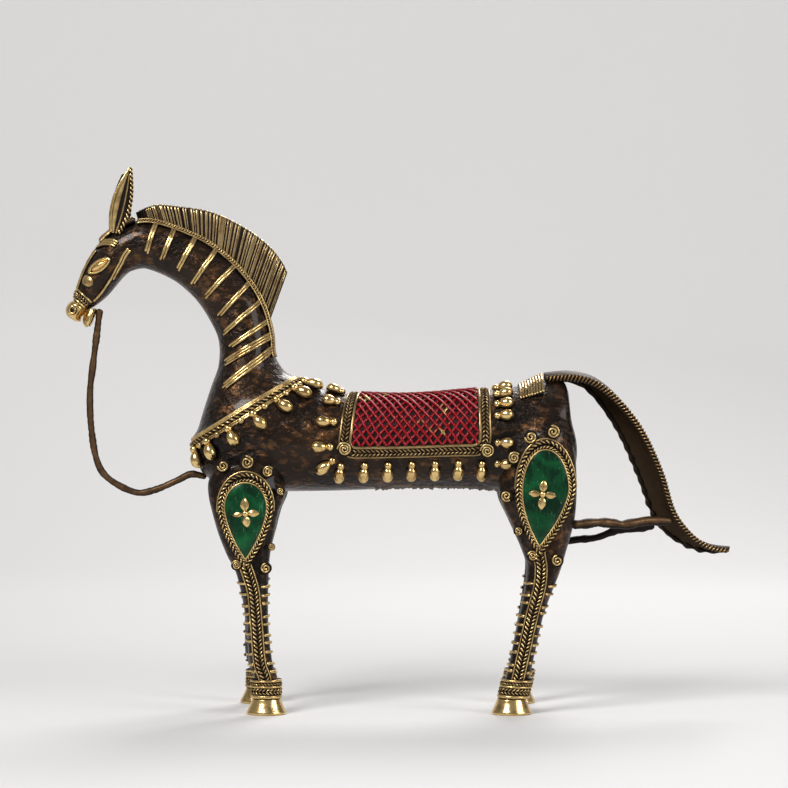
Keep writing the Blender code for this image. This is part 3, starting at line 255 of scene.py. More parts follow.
class Limb:
    """A limb lofted through ribs that join two outline points of the side view.

    A station holds the first outline point (x, z), the second (x, z), half the width across
    Y and the distance of the middle from the centre plane. Angle 0 looks to the first
    outline, a quarter turn to the near side and half a turn to the second outline.
    """

    def __init__(self, stations: Table, seated: bool = False) -> None:
        """Keep the stations, and whether the outside lies flat under a medallion."""
        self.stations = np.array(stations, float)
        self.seated = seated

    def station(self, t: Array) -> Array:
        """The stations at shares t, on a Catmull-Rom curve through the table."""
        last = len(self.stations) - 1
        place = np.clip(t, 0.0, 1.0) * last
        i = np.minimum(place.astype(int), last - 1)
        u = (place - i)[..., None]
        p0, p1, p2, p3 = (self.stations[np.clip(k, 0, last)] for k in (i - 1, i, i + 1, i + 2))
        return 0.5 * (
            2 * p1
            + (p2 - p0) * u
            + (2 * p0 - 5 * p1 + 4 * p2 - p3) * u**2
            + (3 * p1 - p0 - 3 * p2 + p3) * u**3
        )

    def core(self, t: Array | float, angle: Array | float, grow: float = 0.0) -> Array:
        """Points of the ribs at shares t: centre plus reach times cosine, and width times sine."""
        t, angle = np.broadcast_arrays(np.asarray(t, float), np.asarray(angle, float))
        ax, az, bx, bz, half_width, middle = np.moveaxis(self.station(t), -1, 0)
        reach_x, reach_z = (ax - bx) / 2, (az - bz) / 2
        stretch = (1 + grow / np.hypot(reach_x, reach_z)) * np.cos(angle)
        y = -middle - (half_width + grow) * np.sin(angle)
        x, z = (ax + bx) / 2 + reach_x * stretch, (az + bz) / 2 + reach_z * stretch
        if self.seated:
            y = np.maximum(y, -seat_distance(z))
        return np.stack([x, y, z], -1)

    def normal(self, t: Array | float, angle: Array | float) -> Array:
        """The outward directions of the surface, from its slopes along and round."""
        t, angle = np.broadcast_arrays(np.asarray(t, float), np.asarray(angle, float))
        low, high = np.clip(t - 0.004, 0, 1), np.clip(t + 0.004, 0, 1)
        along = self.core(high, angle) - self.core(low, angle)
        around = self.core(t, angle + 0.02) - self.core(t, angle - 0.02)
        out = unit(np.cross(along, around))
        middle = (self.core(t, 0.0) + self.core(t, math.pi)) / 2
        facing = (out * (self.core(t, angle) - middle)).sum(-1, keepdims=True)
        return np.where(facing > 0, out, -out)

    def on(self, t: Array | float, angle: Array | float, lift: Array | float = 0.0) -> Array:
        """Points at a height over the surface."""
        return self.core(t, angle) + self.normal(t, angle) * np.asarray(lift, float)[..., None]

    def walk(self, t: Array | float, angle: Array | float, distance: Array | float) -> Array:
        """The shares that lie a distance further along the surface."""
        t, angle, distance = np.broadcast_arrays(*(np.asarray(v, float) for v in (t, angle, distance)))
        for _ in range(8):
            ahead = np.clip(t + 0.002, 0.002, 1.0)
            speed = np.linalg.norm(self.core(ahead, angle) - self.core(ahead - 0.002, angle), axis=-1)
            t = t + distance / 8 * 0.002 / speed
        return t

    def share_at(self, axis: int, value: Array | float, angle: Array | float) -> Array:
        """The shares at which the surface passes values of x (axis 0) or z (axis 2)."""
        value, angle = np.broadcast_arrays(np.asarray(value, float), np.asarray(angle, float))
        low, high = np.zeros(value.shape), np.ones(value.shape)
        rising = self.core(high, angle)[..., axis] > self.core(low, angle)[..., axis]
        for _ in range(32):
            middle = (low + high) / 2
            below = (self.core(middle, angle)[..., axis] < value) == rising
            low, high = np.where(below, middle, low), np.where(below, high, middle)
        return (low + high) / 2

    def skin(self, rows: int, columns: int, relief: float = 0.5, *joins: "Join") -> Shape:
        """The whole limb as a closed skin, which swells where it joins other limbs."""
        t = np.linspace(0, 1, rows)[:, None]
        angle = ring_angles(columns)[None]
        points = self.core(t, angle)
        for join in joins:
            points = points + self.normal(t, angle) * join.swell(points)[..., None]
        return skin(points, relief)

    def route(self, t: Array, angle: Array, lift: float = 0.0, closed: bool = False) -> "Route":
        """A route over the surface."""
        return Route(self.on(t, angle, lift), self.normal(t, angle), closed)


@dataclass
class Join:
    """A fillet to a limb that is crossed by an axis: X (0) for the barrel, Z (2) for a leg."""

    limb: Limb
    axis: int
    width: float = 0.0085
    fade: float = 0.003

    def swell(self, points: Array) -> Array:
        """How far points move out: a quarter of the width at the limb's surface, 0 a width from it.

        The distance from the surface is taken as q - 1 times the rib's smaller half size, with q
        the distance from the rib's middle as a share of the rib's reach that way. Past the
        limb's end the swell fades out.
        """
        t = self.limb.share_at(self.axis, points[..., self.axis], math.pi / 2)
        ax, az, bx, bz, half_width, middle = np.moveaxis(self.limb.station(t), -1, 0)
        first, last = (az, bz) if self.axis == 0 else (ax, bx)
        reach = np.abs(first - last) / 2
        along = points[..., 2 - self.axis] - (first + last) / 2
        away = np.hypot(along / reach, (np.abs(points[..., 1]) - middle) / half_width) - 1
        near = np.clip(1 - np.abs(away * np.minimum(reach, half_width)) / self.width, 0, 1)
        beyond = np.abs(points[..., self.axis] - self.limb.core(t, math.pi / 2)[..., self.axis])
        return self.width / 4 * near**2 * np.clip(1 - beyond / self.fade, 0, 1)


@dataclass
class Route:
    """A path on a surface: its points, the surface's directions there, and whether it closes."""

    points: Array
    normals: Array
    closed: bool = False

    def lengths(self) -> Array:
        """The distance of each point from the first, with the way back to it where the route closes."""
        points = np.concatenate([self.points, self.points[:1]]) if self.closed else self.points
        return np.concatenate([[0.0], np.cumsum(np.linalg.norm(np.diff(points, axis=0), axis=1))])

    def sampled(self, places: Array) -> "Route":
        """The route at some distances from its start, by straight interpolation."""
        lengths = self.lengths()
        pick = np.arange(len(lengths)) % len(self.points)
        points, normals = (
            np.stack([np.interp(places, lengths, values[pick, k]) for k in range(3)], -1)
            for values in (self.points, self.normals)
        )
        return Route(points, unit(normals), self.closed)

    def even(self, step: float) -> "Route":
        """The route in even steps of about a given length."""
        length = self.lengths()[-1]
        count = max(int(round(length / step)), 3)
        return self.sampled(np.linspace(0, length, count + (not self.closed), endpoint=not self.closed))

    def frames(self) -> tuple[Array, Array]:
        """The directions across the route and out of the surface, square to the route."""
        if self.closed:
            ahead = np.roll(self.points, -1, axis=0) - np.roll(self.points, 1, axis=0)
        else:
            ahead = np.gradient(self.points, axis=0)
        across = unit(np.cross(ahead, self.normals))
        return across, unit(np.cross(across, ahead))

    def moved(self, across: float | Array, out: float | Array = 0.0) -> "Route":
        """The route moved sideways over the surface and out from it."""
        side, up = self.frames()
        points = self.points + side * np.asarray(across)[..., None] + up * np.asarray(out)[..., None]
        return Route(points, self.normals, self.closed)

    def part(self, start: float, end: float) -> "Route":
        """The part between two shares of the length."""
        length = self.lengths()[-1]
        cut = self.sampled(np.linspace(start * length, end * length, max(len(self.points), 8)))
        return Route(cut.points, cut.normals)


def flat_route(points: Array, out: Array, closed: bool = False) -> Route:
    """A route over a flat surface, which looks the same way everywhere."""
    return Route(points, np.broadcast_to(out, points.shape), closed)


def swept(route: Route, angles: Array, reach: Array, relief: Array | float) -> Shape:
    """A tube along a route: each ring lies at a reach from the route at some angles."""
    across, out = route.frames()
    cosine, sine = np.cos(angles)[..., None], np.sin(angles)[..., None]
    loops = route.points[:, None] + (across[:, None] * cosine + out[:, None] * sine) * reach[..., None]
    return skin(loops, relief, ring=route.closed)


def round_ends(route: Route, radius: float, step: float) -> tuple[Route, Array]:
    """The route in even steps, with extra rings where a round end swells to the full radius.

    Args:
        route: The route to lay the cord on.
        radius: The cord's radius.
        step: The step between rings.

    Returns:
        The finer route, and the share of the radius at each ring: the height of a half circle.
    """
    if route.closed:
        even = route.even(step)
        return even, np.ones(len(even.points))
    length = route.lengths()[-1]
    tip = min(radius, length / 2)
    ends = tip * (1 - np.cos(np.linspace(0.12, math.pi / 2, 5)))
    count = max(int((length - 2 * tip) / step), 2)
    places = np.concatenate([ends, np.linspace(tip, length - tip, count)[1:-1], length - ends[::-1]])
    near = np.minimum(np.minimum(places, length - places) / tip, 1.0)
    return route.sampled(places), np.sqrt(np.clip(1 - (1 - near) ** 2, 0.02, 1))


def cord(
    route: Route,
    radius: float,
    sides: int = 8,
    step: float = 0.0006,
    seed: int = 0,
    uneven: float = 0.06,
    end_size: float = 1.0,
) -> Shape:
    """A rolled thread: a round tube, slightly uneven, that lies with its middle on the route.

    Args:
        route: Where the middle of the thread lies.
        radius: Its radius.
        sides: Points in a ring.
        step: Distance between rings.
        seed: The seed of its unevenness.
        uneven: How far its radius varies, as a share.
        end_size: The share of the radius that it has at its end.

    Returns:
        The tube, with relief rising from 0 at its foot to 1 on its crest.
    """
    fine, swell = round_ends(route, radius, step)
    places = np.linspace(0, 1, len(fine.points))
    length = fine.lengths()[len(fine.points) - 1]
    swell = swell * (1 + (end_size - 1) * places)
    if not route.closed:
        swell = swell * (1 + uneven * noise_line(places * length, 0.004, seed))
    angles = TAU * (np.arange(sides)[None] + 0.5) / sides
    return swept(fine, angles, radius * swell[:, None], 0.5 + 0.5 * np.sin(angles))


def rope(
    route: Route,
    radius: float,
    pitch: float,
    hand: Hand,
    end_size: float = 1.0,
) -> Shape:
    """Two threads twisted into a rope.

    The outline across it is the union of equal circles round the middle: towards a strand at
    an angle d off, the radius is c cos d + sqrt(r r - c c sin d sin d), with c the strand's
    distance from the middle and r its own radius. The outline turns once in each pitch.

    Args:
        route: Where the middle of the rope lies.
        radius: Its outer radius.
        pitch: The length of a full turn.
        hand: The way of the twist.
        end_size: The share of the radius that it has at its end.

    Returns:
        The rope, with relief on the crests that face out.
    """
    fine, swell = round_ends(route, radius, pitch / 9)
    count = len(fine.points)
    length = fine.lengths()
    if route.closed:
        turns = TAU * max(round(length[-1] / pitch), 1) * np.arange(count) / count
    else:
        turns = TAU * length[:count] / pitch
    swell = swell * (1 + (end_size - 1) * np.linspace(0, 1, count))
    offset, own = 0.43, 0.57
    ring = TAU * np.arange(12) / 12
    away = (ring + math.pi / 2) % math.pi - math.pi / 2
    outline = offset * np.cos(away) + np.sqrt(own**2 - (offset * np.sin(away)) ** 2)
    crest = (outline - outline.min()) / (1 - outline.min())
    angles = ring[None] + turns[:, None] * hand.value
    facing = 0.5 + 0.5 * np.sin(angles)
    relief = crest[None] * facing**0.6
    return swept(fine, angles, radius * outline[None] * swell[:, None], relief)


def rod(route: Route, radius: float, seed: int, nub: float = 0.0) -> Shape:
    """A cast rod: thick and thin by turns, with round ends.

    Args:
        route: Where the middle of the rod lies.
        radius: Its mean radius.
        seed: The seed of its unevenness.
        nub: How much thicker it is at its start, as a share.

    Returns:
        The rod, with relief rising from 0 at its foot to 1 on its crest.
    """
    fine, swell = round_ends(route, radius, 0.0007)
    place = fine.lengths()
    knots = 1 + 0.10 * noise_line(place, 0.009, seed) + 0.05 * noise_line(place, 0.003, seed + 1)
    knots = knots + nub * np.exp(-((place / (2 * radius)) ** 2))
    angles = TAU * np.arange(14)[None] / 14
    return swept(fine, angles, (radius * swell * knots)[:, None], 0.5 + 0.5 * np.sin(angles))


def braid(route: Route, radius: float, pitch: float) -> Shape:
    """Two ropes of opposite hands side by side, whose strands meet in a herringbone."""
    half = radius * BRAID_GAP / 2
    return joined([
        rope(route.moved(-half), radius, pitch, Hand.LEFT),
        rope(route.moved(half), radius, pitch, Hand.RIGHT),
    ])


def edged_braid(middle: Route, raised: Route, radius: float, away: float, seed: int) -> Shape:
    """A braid on a raised route, with a thin cord at a distance on each side of the middle."""
    return joined([
        cord(middle.moved(-away), 0.00048, seed=seed),
        braid(raised, radius, 0.0026),
        cord(middle.moved(away), 0.00048, seed=seed + 1),
    ])


def bead(place: Array, out: Array, radius: float, flat: float = 0.8) -> Shape:
    """A pressed ball: a sphere about a place, flattened along its outward direction."""
    out = unit(out)
    height = np.linspace(0.08, math.pi - 0.08, 9)[:, None]
    turn = ring_angles(12)[None]
    loops = place + spokes(out, turn) * (radius * np.sin(height))[..., None]
    loops = loops + out * (radius * flat * np.cos(height))[..., None]
    return skin(loops, 0.5 + 0.5 * np.cos(height))


def coil(
    place: Array,
    out: Array,
    radius: float,
    hand: Hand = Hand.RIGHT,
    turns: float = 2.3,
    start: float = 0.0,
) -> Shape:
    """A thread coiled flat: its radius falls evenly with the angle, on a low dark disc.

    Args:
        place: The middle of the coil's foot.
        out: The direction that it faces.
        radius: Its outer radius.
        hand: The way of the coil.
        turns: How many turns it has.
        start: The angle of its outer end.

    Returns:
        The coil and its disc.
    """
    thread = radius / (2 * turns + 1.5)
    share = np.linspace(0, 1, int(18 * turns))
    turn = start + hand.value * TAU * turns * share
    far = thread * 0.55 + (radius - thread * 1.55) * (1 - share)
    points = place + spokes(out, turn) * far[:, None] + out * thread * (0.75 + 0.5 * share[:, None])
    thread_shape = cord(flat_route(points, out), thread * 0.76, sides=7, step=0.0005)
    ring = ring_angles(20)[None]
    across = np.array([0.96, 0.96, 0.80])[:, None]
    height = np.array([-0.0015, 0.35 * thread, 0.55 * thread])[:, None]
    loops = place + spokes(out, ring) * radius * across[..., None]
    return joined([thread_shape, skin(loops + out * height[..., None], 0.0)])


def seat_distance(height: Array | float) -> Array:
    """How far from the centre plane the flat seat of a medallion lies at a height."""
    share = (np.asarray(height) - SEAT_FOOT_HEIGHT) / (SEAT_TOP_HEIGHT - SEAT_FOOT_HEIGHT)
    return SEAT_AT_FOOT + (SEAT_AT_TOP - SEAT_AT_FOOT) * np.maximum(share, -0.2)


def on_centre(track: Array) -> Array:
    """Points (x, z) of the centre plane as points in space."""
    return np.insert(track, 1, 0.0, axis=-1)


def smooth_line(points: Table, count: int) -> Array:
    """Points (x, z) in even shares along the Catmull-Rom curve through some of them."""
    line = Limb([(x, z, 0.0, 0.0, 0.0, 0.0) for x, z in points])
    return line.station(np.linspace(0, 1, count))[:, :2]


def rib_stations(
    first: Sequence[float],
    second: Sequence[float],
    scale: Sequence[float],
    width: float,
    table: Table,
) -> list:
    """Stations whose outline points lie at shares of a scale from two origins, on the centre plane.

    Args:
        first: The origin (x, z) of the first outline.
        second: The origin of the second outline.
        scale: The lengths along X and Z that the shares are of.
        width: The full width that the last column has shares of.
        table: First outline (x, z), second outline (x, z) and width, as shares.

    Returns:
        The stations.
    """
    return [
        (
            first[0] + scale[0] * ax,
            first[1] + scale[1] * az,
            second[0] + scale[0] * bx,
            second[1] + scale[1] * bz,
            width / 2 * share,
            0.0,
        )
        for ax, az, bx, bz, share in table
    ]


@dataclass
class Plan:
    """The forms of the horse's limbs, with the sizes that the solids have."""

    chest_x: float
    neck_reach: float = 0.0738
    neck_rise: float = 0.0726
    neck_width: float = 0.0390
    head_length: float = 0.0560
    head_width: float = 0.0200
    leg_thickness: float = 0.0104

    def body(self) -> Limb:
        """The barrel from the collar's slanting seam to the rump."""
        table = (
            (0.269, 0.0090, 0.000, 0.0237, 0.92),
            (0.290, 0.0068, 0.012, 0.0150, 0.97),
            (0.318, 0.0048, 0.038, 0.0062, 1.00),
            (0.356, 0.0028, 0.130, 0.0000, 1.00),
            (0.415, 0.0008, 0.350, -0.0004, 0.98),
            (0.560, -0.0002, 0.550, 0.0008, 0.96),
            (0.715, 0.0018, 0.705, 0.0008, 0.98),
            (0.830, 0.0040, 0.850, -0.0010, 1.01),
            (0.900, 0.0066, 0.955, 0.0004, 0.99),
            (0.945, 0.0078, 0.990, 0.0090, 0.88),
            (0.970, 0.0066, 0.992, 0.0210, 0.70),
            (0.980, 0.0030, 0.986, 0.0310, 0.42),
        )
        first, second = (self.chest_x, BACK_HEIGHT), (self.chest_x, BELLY_HEIGHT)
        return Limb(rib_stations(first, second, (BODY_LENGTH, 1.0), BARREL_WIDTH, table))

    def neck(self, body: Limb) -> Limb:
        """The neck from the seam up and forward to the poll, let a little into the barrel."""
        ax, az, bx, bz, half_width, _ = body.stations[0]
        along = unit(np.array([ax - bx, az - bz]))
        gap_x, gap_z = -along[1] * SEAT_GAP, along[0] * SEAT_GAP
        table = (
            (0.057, 0.029, 0.614, -0.336, 0.95),
            (0.100, 0.084, 0.580, -0.226, 0.87),
            (0.133, 0.160, 0.530, -0.068, 0.77),
            (0.143, 0.284, 0.482, 0.077, 0.67),
            (0.187, 0.449, 0.481, 0.229, 0.61),
            (0.262, 0.594, 0.533, 0.355, 0.575),
            (0.378, 0.736, 0.621, 0.490, 0.55),
            (0.533, 0.862, 0.736, 0.598, 0.535),
            (0.682, 0.935, 0.844, 0.658, 0.525),
            (0.830, 0.990, 0.932, 0.690, 0.52),
            (0.922, 1.006, 0.972, 0.692, 0.52),
            (1.000, 1.000, 1.012, 0.684, 0.515),
        )
        seam = (ax + gap_x, az + gap_z, bx + gap_x, bz + gap_z, half_width, 0.0)
        scale = (-self.neck_reach, self.neck_rise)
        return Limb([seam, *rib_stations((ax, az), (ax, az), scale, self.neck_width, table)])

    def head(self, neck: Limb) -> Limb:
        """The head from the poll down to the noseband."""
        ax, az, bx, bz, half_width, _ = neck.stations[-1]
        table = (
            (0.152, -0.072, 0.060, -0.430, 1.01),
            (0.254, -0.152, 0.115, -0.480, 0.99),
            (0.330, -0.245, 0.178, -0.555, 0.95),
            (0.392, -0.340, 0.232, -0.618, 0.87),
            (0.446, -0.456, 0.286, -0.668, 0.76),
            (0.487, -0.576, 0.348, -0.713, 0.66),
            (0.522, -0.656, 0.404, -0.742, 0.60),
        )
        poll = (ax + SEAT_GAP, az, bx + SEAT_GAP, bz, half_width, 0.0)
        scale = (-self.head_length, self.head_length)
        return Limb([poll, *rib_stations((ax, az), (ax, az), scale, self.head_width, table)])

    def muzzle(self, head: Limb) -> Limb:
        """The swollen muzzle on the end of the head."""
        ax, az, bx, bz, _, _ = head.stations[-1]
        along = unit(np.array([ax - bx, az - bz]))
        ahead = np.array([along[1], -along[0]])
        ahead = ahead if ahead[1] < 0 else -ahead
        stations = []
        for reach, top, bottom, width in (
            (-0.012, -0.010, -0.010, 0.56),
            (0.010, 0.000, -0.002, 0.62),
            (0.032, 0.011, 0.000, 0.66),
            (0.078, 0.012, -0.004, 0.66),
            (0.116, -0.004, 0.008, 0.56),
            (0.138, -0.034, -0.032, 0.34),
        ):
            upper = np.array([ax, az]) + (ahead * reach + along * top) * self.head_length
            lower = np.array([bx, bz]) + (ahead * reach - along * bottom) * self.head_length
            stations.append((*upper, *lower, self.head_width / 2 * width, 0.0))
        return Limb(stations)

    def jaw(self, head: Limb) -> Limb:
        """The lower lip and chin behind the muzzle."""
        _, _, bx, bz, _, _ = head.stations[-1]
        table = (
            (0.006, -0.004, -0.073, 0.016, 0.40),
            (0.006, -0.024, -0.073, 0.000, 0.44),
            (0.022, -0.070, -0.062, -0.045, 0.50),
            (0.014, -0.118, -0.042, -0.105, 0.48),
            (-0.012, -0.138, -0.026, -0.134, 0.30),
        )
        scale = (-self.head_length, self.head_length)
        return Limb(rib_stations((bx, bz), (bx, bz), scale, self.head_width, table))

    def leg(self, setback: float, table: Table) -> Limb:
        """A leg from the hoof up to where it clasps the barrel."""
        x = self.chest_x + setback
        height = BELLY_HEIGHT - HOOF_HEIGHT
        return Limb(
            [
                (
                    x + front,
                    HOOF_HEIGHT + height * share,
                    x + rear,
                    HOOF_HEIGHT + height * share,
                    self.leg_thickness / 2 * thickness,
                    TRACK / 2 - inset,
                )
                for share, front, rear, thickness, inset in table
            ],
            seated=True,
        )

    def front_leg(self) -> Limb:
        """The near front leg."""
        return self.leg(FRONT_SETBACK, (
            (0.000, -0.0052, 0.0052, 0.92, 0.0),
            (0.100, -0.0056, 0.0050, 0.94, 0.0),
            (0.185, -0.0081, 0.0026, 1.00, 0.0),
            (0.380, -0.0094, 0.0008, 1.00, 0.0),
            (0.590, -0.0134, 0.0010, 1.08, 0.0),
            (0.695, -0.0182, 0.0016, 1.26, 0.0005),
            (0.800, -0.0222, 0.0036, 1.46, 0.0015),
            (0.900, -0.0250, 0.0056, 1.68, 0.0030),
            (0.980, -0.0268, 0.0082, 1.84, 0.0045),
            (1.050, -0.0268, 0.0070, 1.92, 0.0052),
            (1.120, -0.0238, 0.0030, 1.84, 0.0058),
            (1.165, -0.0170, -0.0030, 1.20, 0.0078),
        ))

    def hind_leg(self) -> Limb:
        """The near hind leg."""
        return self.leg(HIND_SETBACK, (
            (0.000, -0.0050, 0.0060, 0.92, 0.0),
            (0.105, -0.0027, 0.0083, 0.94, 0.0),
            (0.210, -0.0004, 0.0104, 1.00, 0.0),
            (0.410, 0.0036, 0.0148, 1.02, 0.0),
            (0.605, 0.0068, 0.0218, 1.22, 0.0005),
            (0.690, 0.0056, 0.0244, 1.42, 0.0015),
            (0.855, -0.0008, 0.0288, 1.74, 0.0035),
            (0.975, -0.0052, 0.0300, 1.94, 0.0050),
            (1.090, -0.0030, 0.0300, 2.04, 0.0060),
            (1.185, 0.0010, 0.0294, 1.98, 0.0065),
            (1.270, 0.0070, 0.0268, 1.72, 0.0070),
            (1.325, 0.0130, 0.0230, 1.00, 0.0085),
        ))


class Value:
    """A shader value, on which Python's operators add Math nodes."""

    def __init__(self, recipe: "Recipe", socket: bpy.types.NodeSocket) -> None:
        """Wrap a socket of a recipe."""
        self.recipe = recipe
        self.socket = socket

    def math(self, operation: str, *others: "Value | float", clamp: bool = False) -> "Value":
        """This value and others through a Math node."""
        settings = {"operation": operation, "use_clamp": clamp}
        made = self.recipe.node("ShaderNodeMath", settings, dict(enumerate((self, *others))))
        return Value(self.recipe, made.outputs[0])

    def __add__(self, other: "Value | float") -> "Value":
        """The sum."""
        return self.math("ADD", other)

    __radd__ = __add__

    def __sub__(self, other: "Value | float") -> "Value":
        """The difference."""
        return self.math("SUBTRACT", other)

    def __rsub__(self, other: float) -> "Value":
        """The difference from a number."""
        return (self * -1.0) + other

    def __mul__(self, other: "Value | float") -> "Value":
        """The product."""
        return self.math("MULTIPLY", other)

    def __truediv__(self, other: "Value | float") -> "Value":
        """The quotient."""
        return self.math("DIVIDE", other)

    def between(self, low: float, high: float) -> "Value":
        """0 at the low value, 1 at the high one, and clamped beyond."""
        return ((self - low) / (high - low)).math("MULTIPLY", 1.0, clamp=True)


class Recipe:
    """One procedural material in the making."""

    def __init__(self, name: str) -> None:
        """Start a material with a Principled shader."""
        self.material = bpy.data.materials.new(name)
        self.material.use_nodes = True
        self.tree = self.material.node_tree
        self.shader = self.tree.nodes["Principled BSDF"]

    def node(self, kind: str, settings: dict, sockets: dict) -> bpy.types.Node:
        """Add a node.

        Args:
            kind: The node's type.
            settings: Its properties, which are set first.
            sockets: Values, sockets or links for its inputs, by name or number.

        Returns:
            The node.
        """
        made = self.tree.nodes.new(kind)
        for key, value in settings.items():
            setattr(made, key, value)
        for key, value in sockets.items():
            self.feed(made.inputs[key], value)
        return made

    def feed(self, entry: bpy.types.NodeSocket, value: object) -> None:
        """Link a socket to an entry, or set its value."""
        if isinstance(value, Value):
            value = value.socket
        if isinstance(value, bpy.types.NodeSocket):
            self.tree.links.new(value, entry)
        elif isinstance(value, tuple) and entry.type == "RGBA":
            entry.default_value = (*value, 1.0)
        else:
            entry.default_value = value

    def place(self, stretch: tuple[float, float, float] = (1.0, 1.0, 1.0)) -> bpy.types.NodeSocket:
        """The object's coordinates, stretched along its axes."""
        spot = self.node("ShaderNodeTexCoord", {}, {}).outputs["Object"]
        return self.node("ShaderNodeMapping", {}, {"Vector": spot, "Scale": stretch}).outputs[0]

    def noise(
        self,
        scale: float,
        detail: float = 3.0,
        roughness: float = 0.55,
        distortion: float = 0.0,
        stretch: tuple[float, float, float] = (1.0, 1.0, 1.0),
    ) -> Value:
        """Cloudy noise with a number of features in a metre."""
        sockets = {
            "Vector": self.place(stretch),
            "Scale": scale,
            "Detail": detail,
            "Roughness": roughness,
            "Distortion": distortion,
        }
        return Value(self, self.node("ShaderNodeTexNoise", {}, sockets).outputs["Fac"])

    def attribute(self, name: str) -> Value:
        """A value that the mesh carries at its points."""
        made = self.node("ShaderNodeAttribute", {"attribute_name": name}, {})
        return Value(self, made.outputs["Fac"])

    def mix(self, factor: Value | float, first: object, second: object) -> bpy.types.NodeSocket:
        """Two colours mixed by a factor."""
        made = self.node("ShaderNodeMix", {"data_type": "RGBA"}, {0: factor, 6: first, 7: second})
        return made.outputs[2]

    def bump(self, height: Value, distance: float) -> bpy.types.NodeSocket:
        """A normal bent by a height."""
        return self.node("ShaderNodeBump", {}, {"Height": height, "Distance": distance}).outputs[0]

    def finish(self, **sockets: object) -> bpy.types.Material:
        """Feed the shader and hand the material over."""
        for key, value in sockets.items():
            self.feed(self.shader.inputs[key.replace("_", " ")], value)
        return self.material


@dataclass(frozen=True)
class Finish:
    """A finish with the name of the material that it becomes."""

    name: str

    def material(self) -> bpy.types.Material:
        """The finish as a material, made once."""
        return bpy.data.materials.get(self.name) or self.mixed(Recipe(self.name))

    def mixed(self, recipe: Recipe) -> bpy.types.Material:
        """The finish in a fresh recipe."""
        raise NotImplementedError


@dataclass(frozen=True)
class CastBrass(Finish):
    """Brass as cast: dark patina in the recesses, coppery above it and polished on the crests."""

    recess: Colour = (0.012, 0.008, 0.006)
    middle: Colour = (0.060, 0.034, 0.014)
    crest: Colour = (0.80, 0.57, 0.24)
    tarnish: Colour = (0.32, 0.17, 0.06)
    wear_from: float = 0.61
    wear_to: float = 1.00
    crest_roughness: float = 0.22
    recess_roughness: float = 0.55
    grain: float = 0.00018

    def mixed(self, recipe: Recipe) -> bpy.types.Material:
        """The finish in a fresh recipe."""
        relief = recipe.attribute("relief")
        cloud = recipe.noise(260.0, 4.0)
        fine = recipe.noise(1500.0, 3.0)
        height = relief + (cloud - 0.5) * 0.4 + (fine - 0.5) * 0.15
        worn = height.between(self.wear_from, self.wear_to)
        low = height.between(self.wear_from - 0.35, self.wear_from + 0.15)
        patches = recipe.noise(180.0, 3.0, distortion=0.6).between(0.48, 0.70)
        bright = recipe.mix(patches * 0.7, self.crest, self.tarnish)
        dull = recipe.mix(low, self.recess, self.middle)
        colour = recipe.mix(worn, dull, bright)
        roughness = self.recess_roughness + worn * (self.crest_roughness - self.recess_roughness)
        return recipe.finish(
            Base_Color=colour,
            Metallic=0.50 + worn * 0.50,
            Roughness=roughness + (fine - 0.5) * 0.10,
            Specular_IOR_Level=0.20,
            Normal=recipe.bump(cloud * 0.8 + fine * 0.1, self.grain),
        )


@dataclass(frozen=True)
class DarkSkin(Finish):
    """The smooth skin of the casting: near-black brown, glossy, with coppery rubbed patches."""

    name: str = "dark_skin"
    deep: Colour = (0.007, 0.005, 0.004)
    brown: Colour = (0.032, 0.017, 0.009)
    copper: Colour = (0.24, 0.11, 0.040)

    def mixed(self, recipe: Recipe) -> bpy.types.Material:
        """The finish in a fresh recipe."""
        broad = recipe.noise(45.0, 4.0, distortion=0.4)
        streak = recipe.noise(170.0, 5.0, 0.6, stretch=(0.45, 1.0, 1.0))
        fine = recipe.noise(1100.0, 3.0)
        base = recipe.mix(broad.between(0.35, 0.7), self.deep, self.brown)
        hammered = recipe.noise(380.0, 3.0, stretch=(0.7, 1.0, 1.0))
        rubbed = (streak * 0.45 + broad * 0.1 + hammered * 0.45).between(0.52, 0.70) * 0.8
        return recipe.finish(
            Base_Color=recipe.mix(rubbed, base, self.copper),
            Metallic=0.75 + rubbed * 0.2,
            Roughness=0.18 + fine * 0.16 + streak * 0.12,
            Specular_IOR_Level=0.25,
            Coat_Weight=0.22,
            Coat_Roughness=0.10,
            Normal=recipe.bump(streak * 0.8 + hammered * 0.35 + fine * 0.04, 0.0022),
        )


@dataclass(frozen=True)
class WireEnamel(Finish):
    """Red enamel over the net: glossy, with painted shade darkening it towards the foot, rubbed to gold on
    a few crests.
    """

    name: str = "net_glaze"
    red: Colour = (0.25, 0.003, 0.007)
    dark: Colour = (0.040, 0.001, 0.002)
    gold: Colour = (0.55, 0.42, 0.14)

    def mixed(self, recipe: Recipe) -> bpy.types.Material:
        """The finish in a fresh recipe."""
        relief = recipe.attribute("relief")
        broad = recipe.noise(55.0, 2.0)
        fine = recipe.noise(900.0, 3.0)
        # Painted shade: the red darkens towards the foot of each wire, where it meets the bed.
        lit = (relief + (fine - 0.5) * 0.4).between(0.25, 0.85)
        colour = recipe.mix(lit, self.dark, self.red)
        worn = broad.between(0.63, 0.67) * relief.between(0.5, 0.8)
        return recipe.finish(
            Base_Color=recipe.mix(worn, colour, self.gold),
            Metallic=worn * 0.9,
            Roughness=0.12 + fine * 0.16,
            Specular_IOR_Level=0.30,
            Normal=recipe.bump(fine, 0.0003),
        )


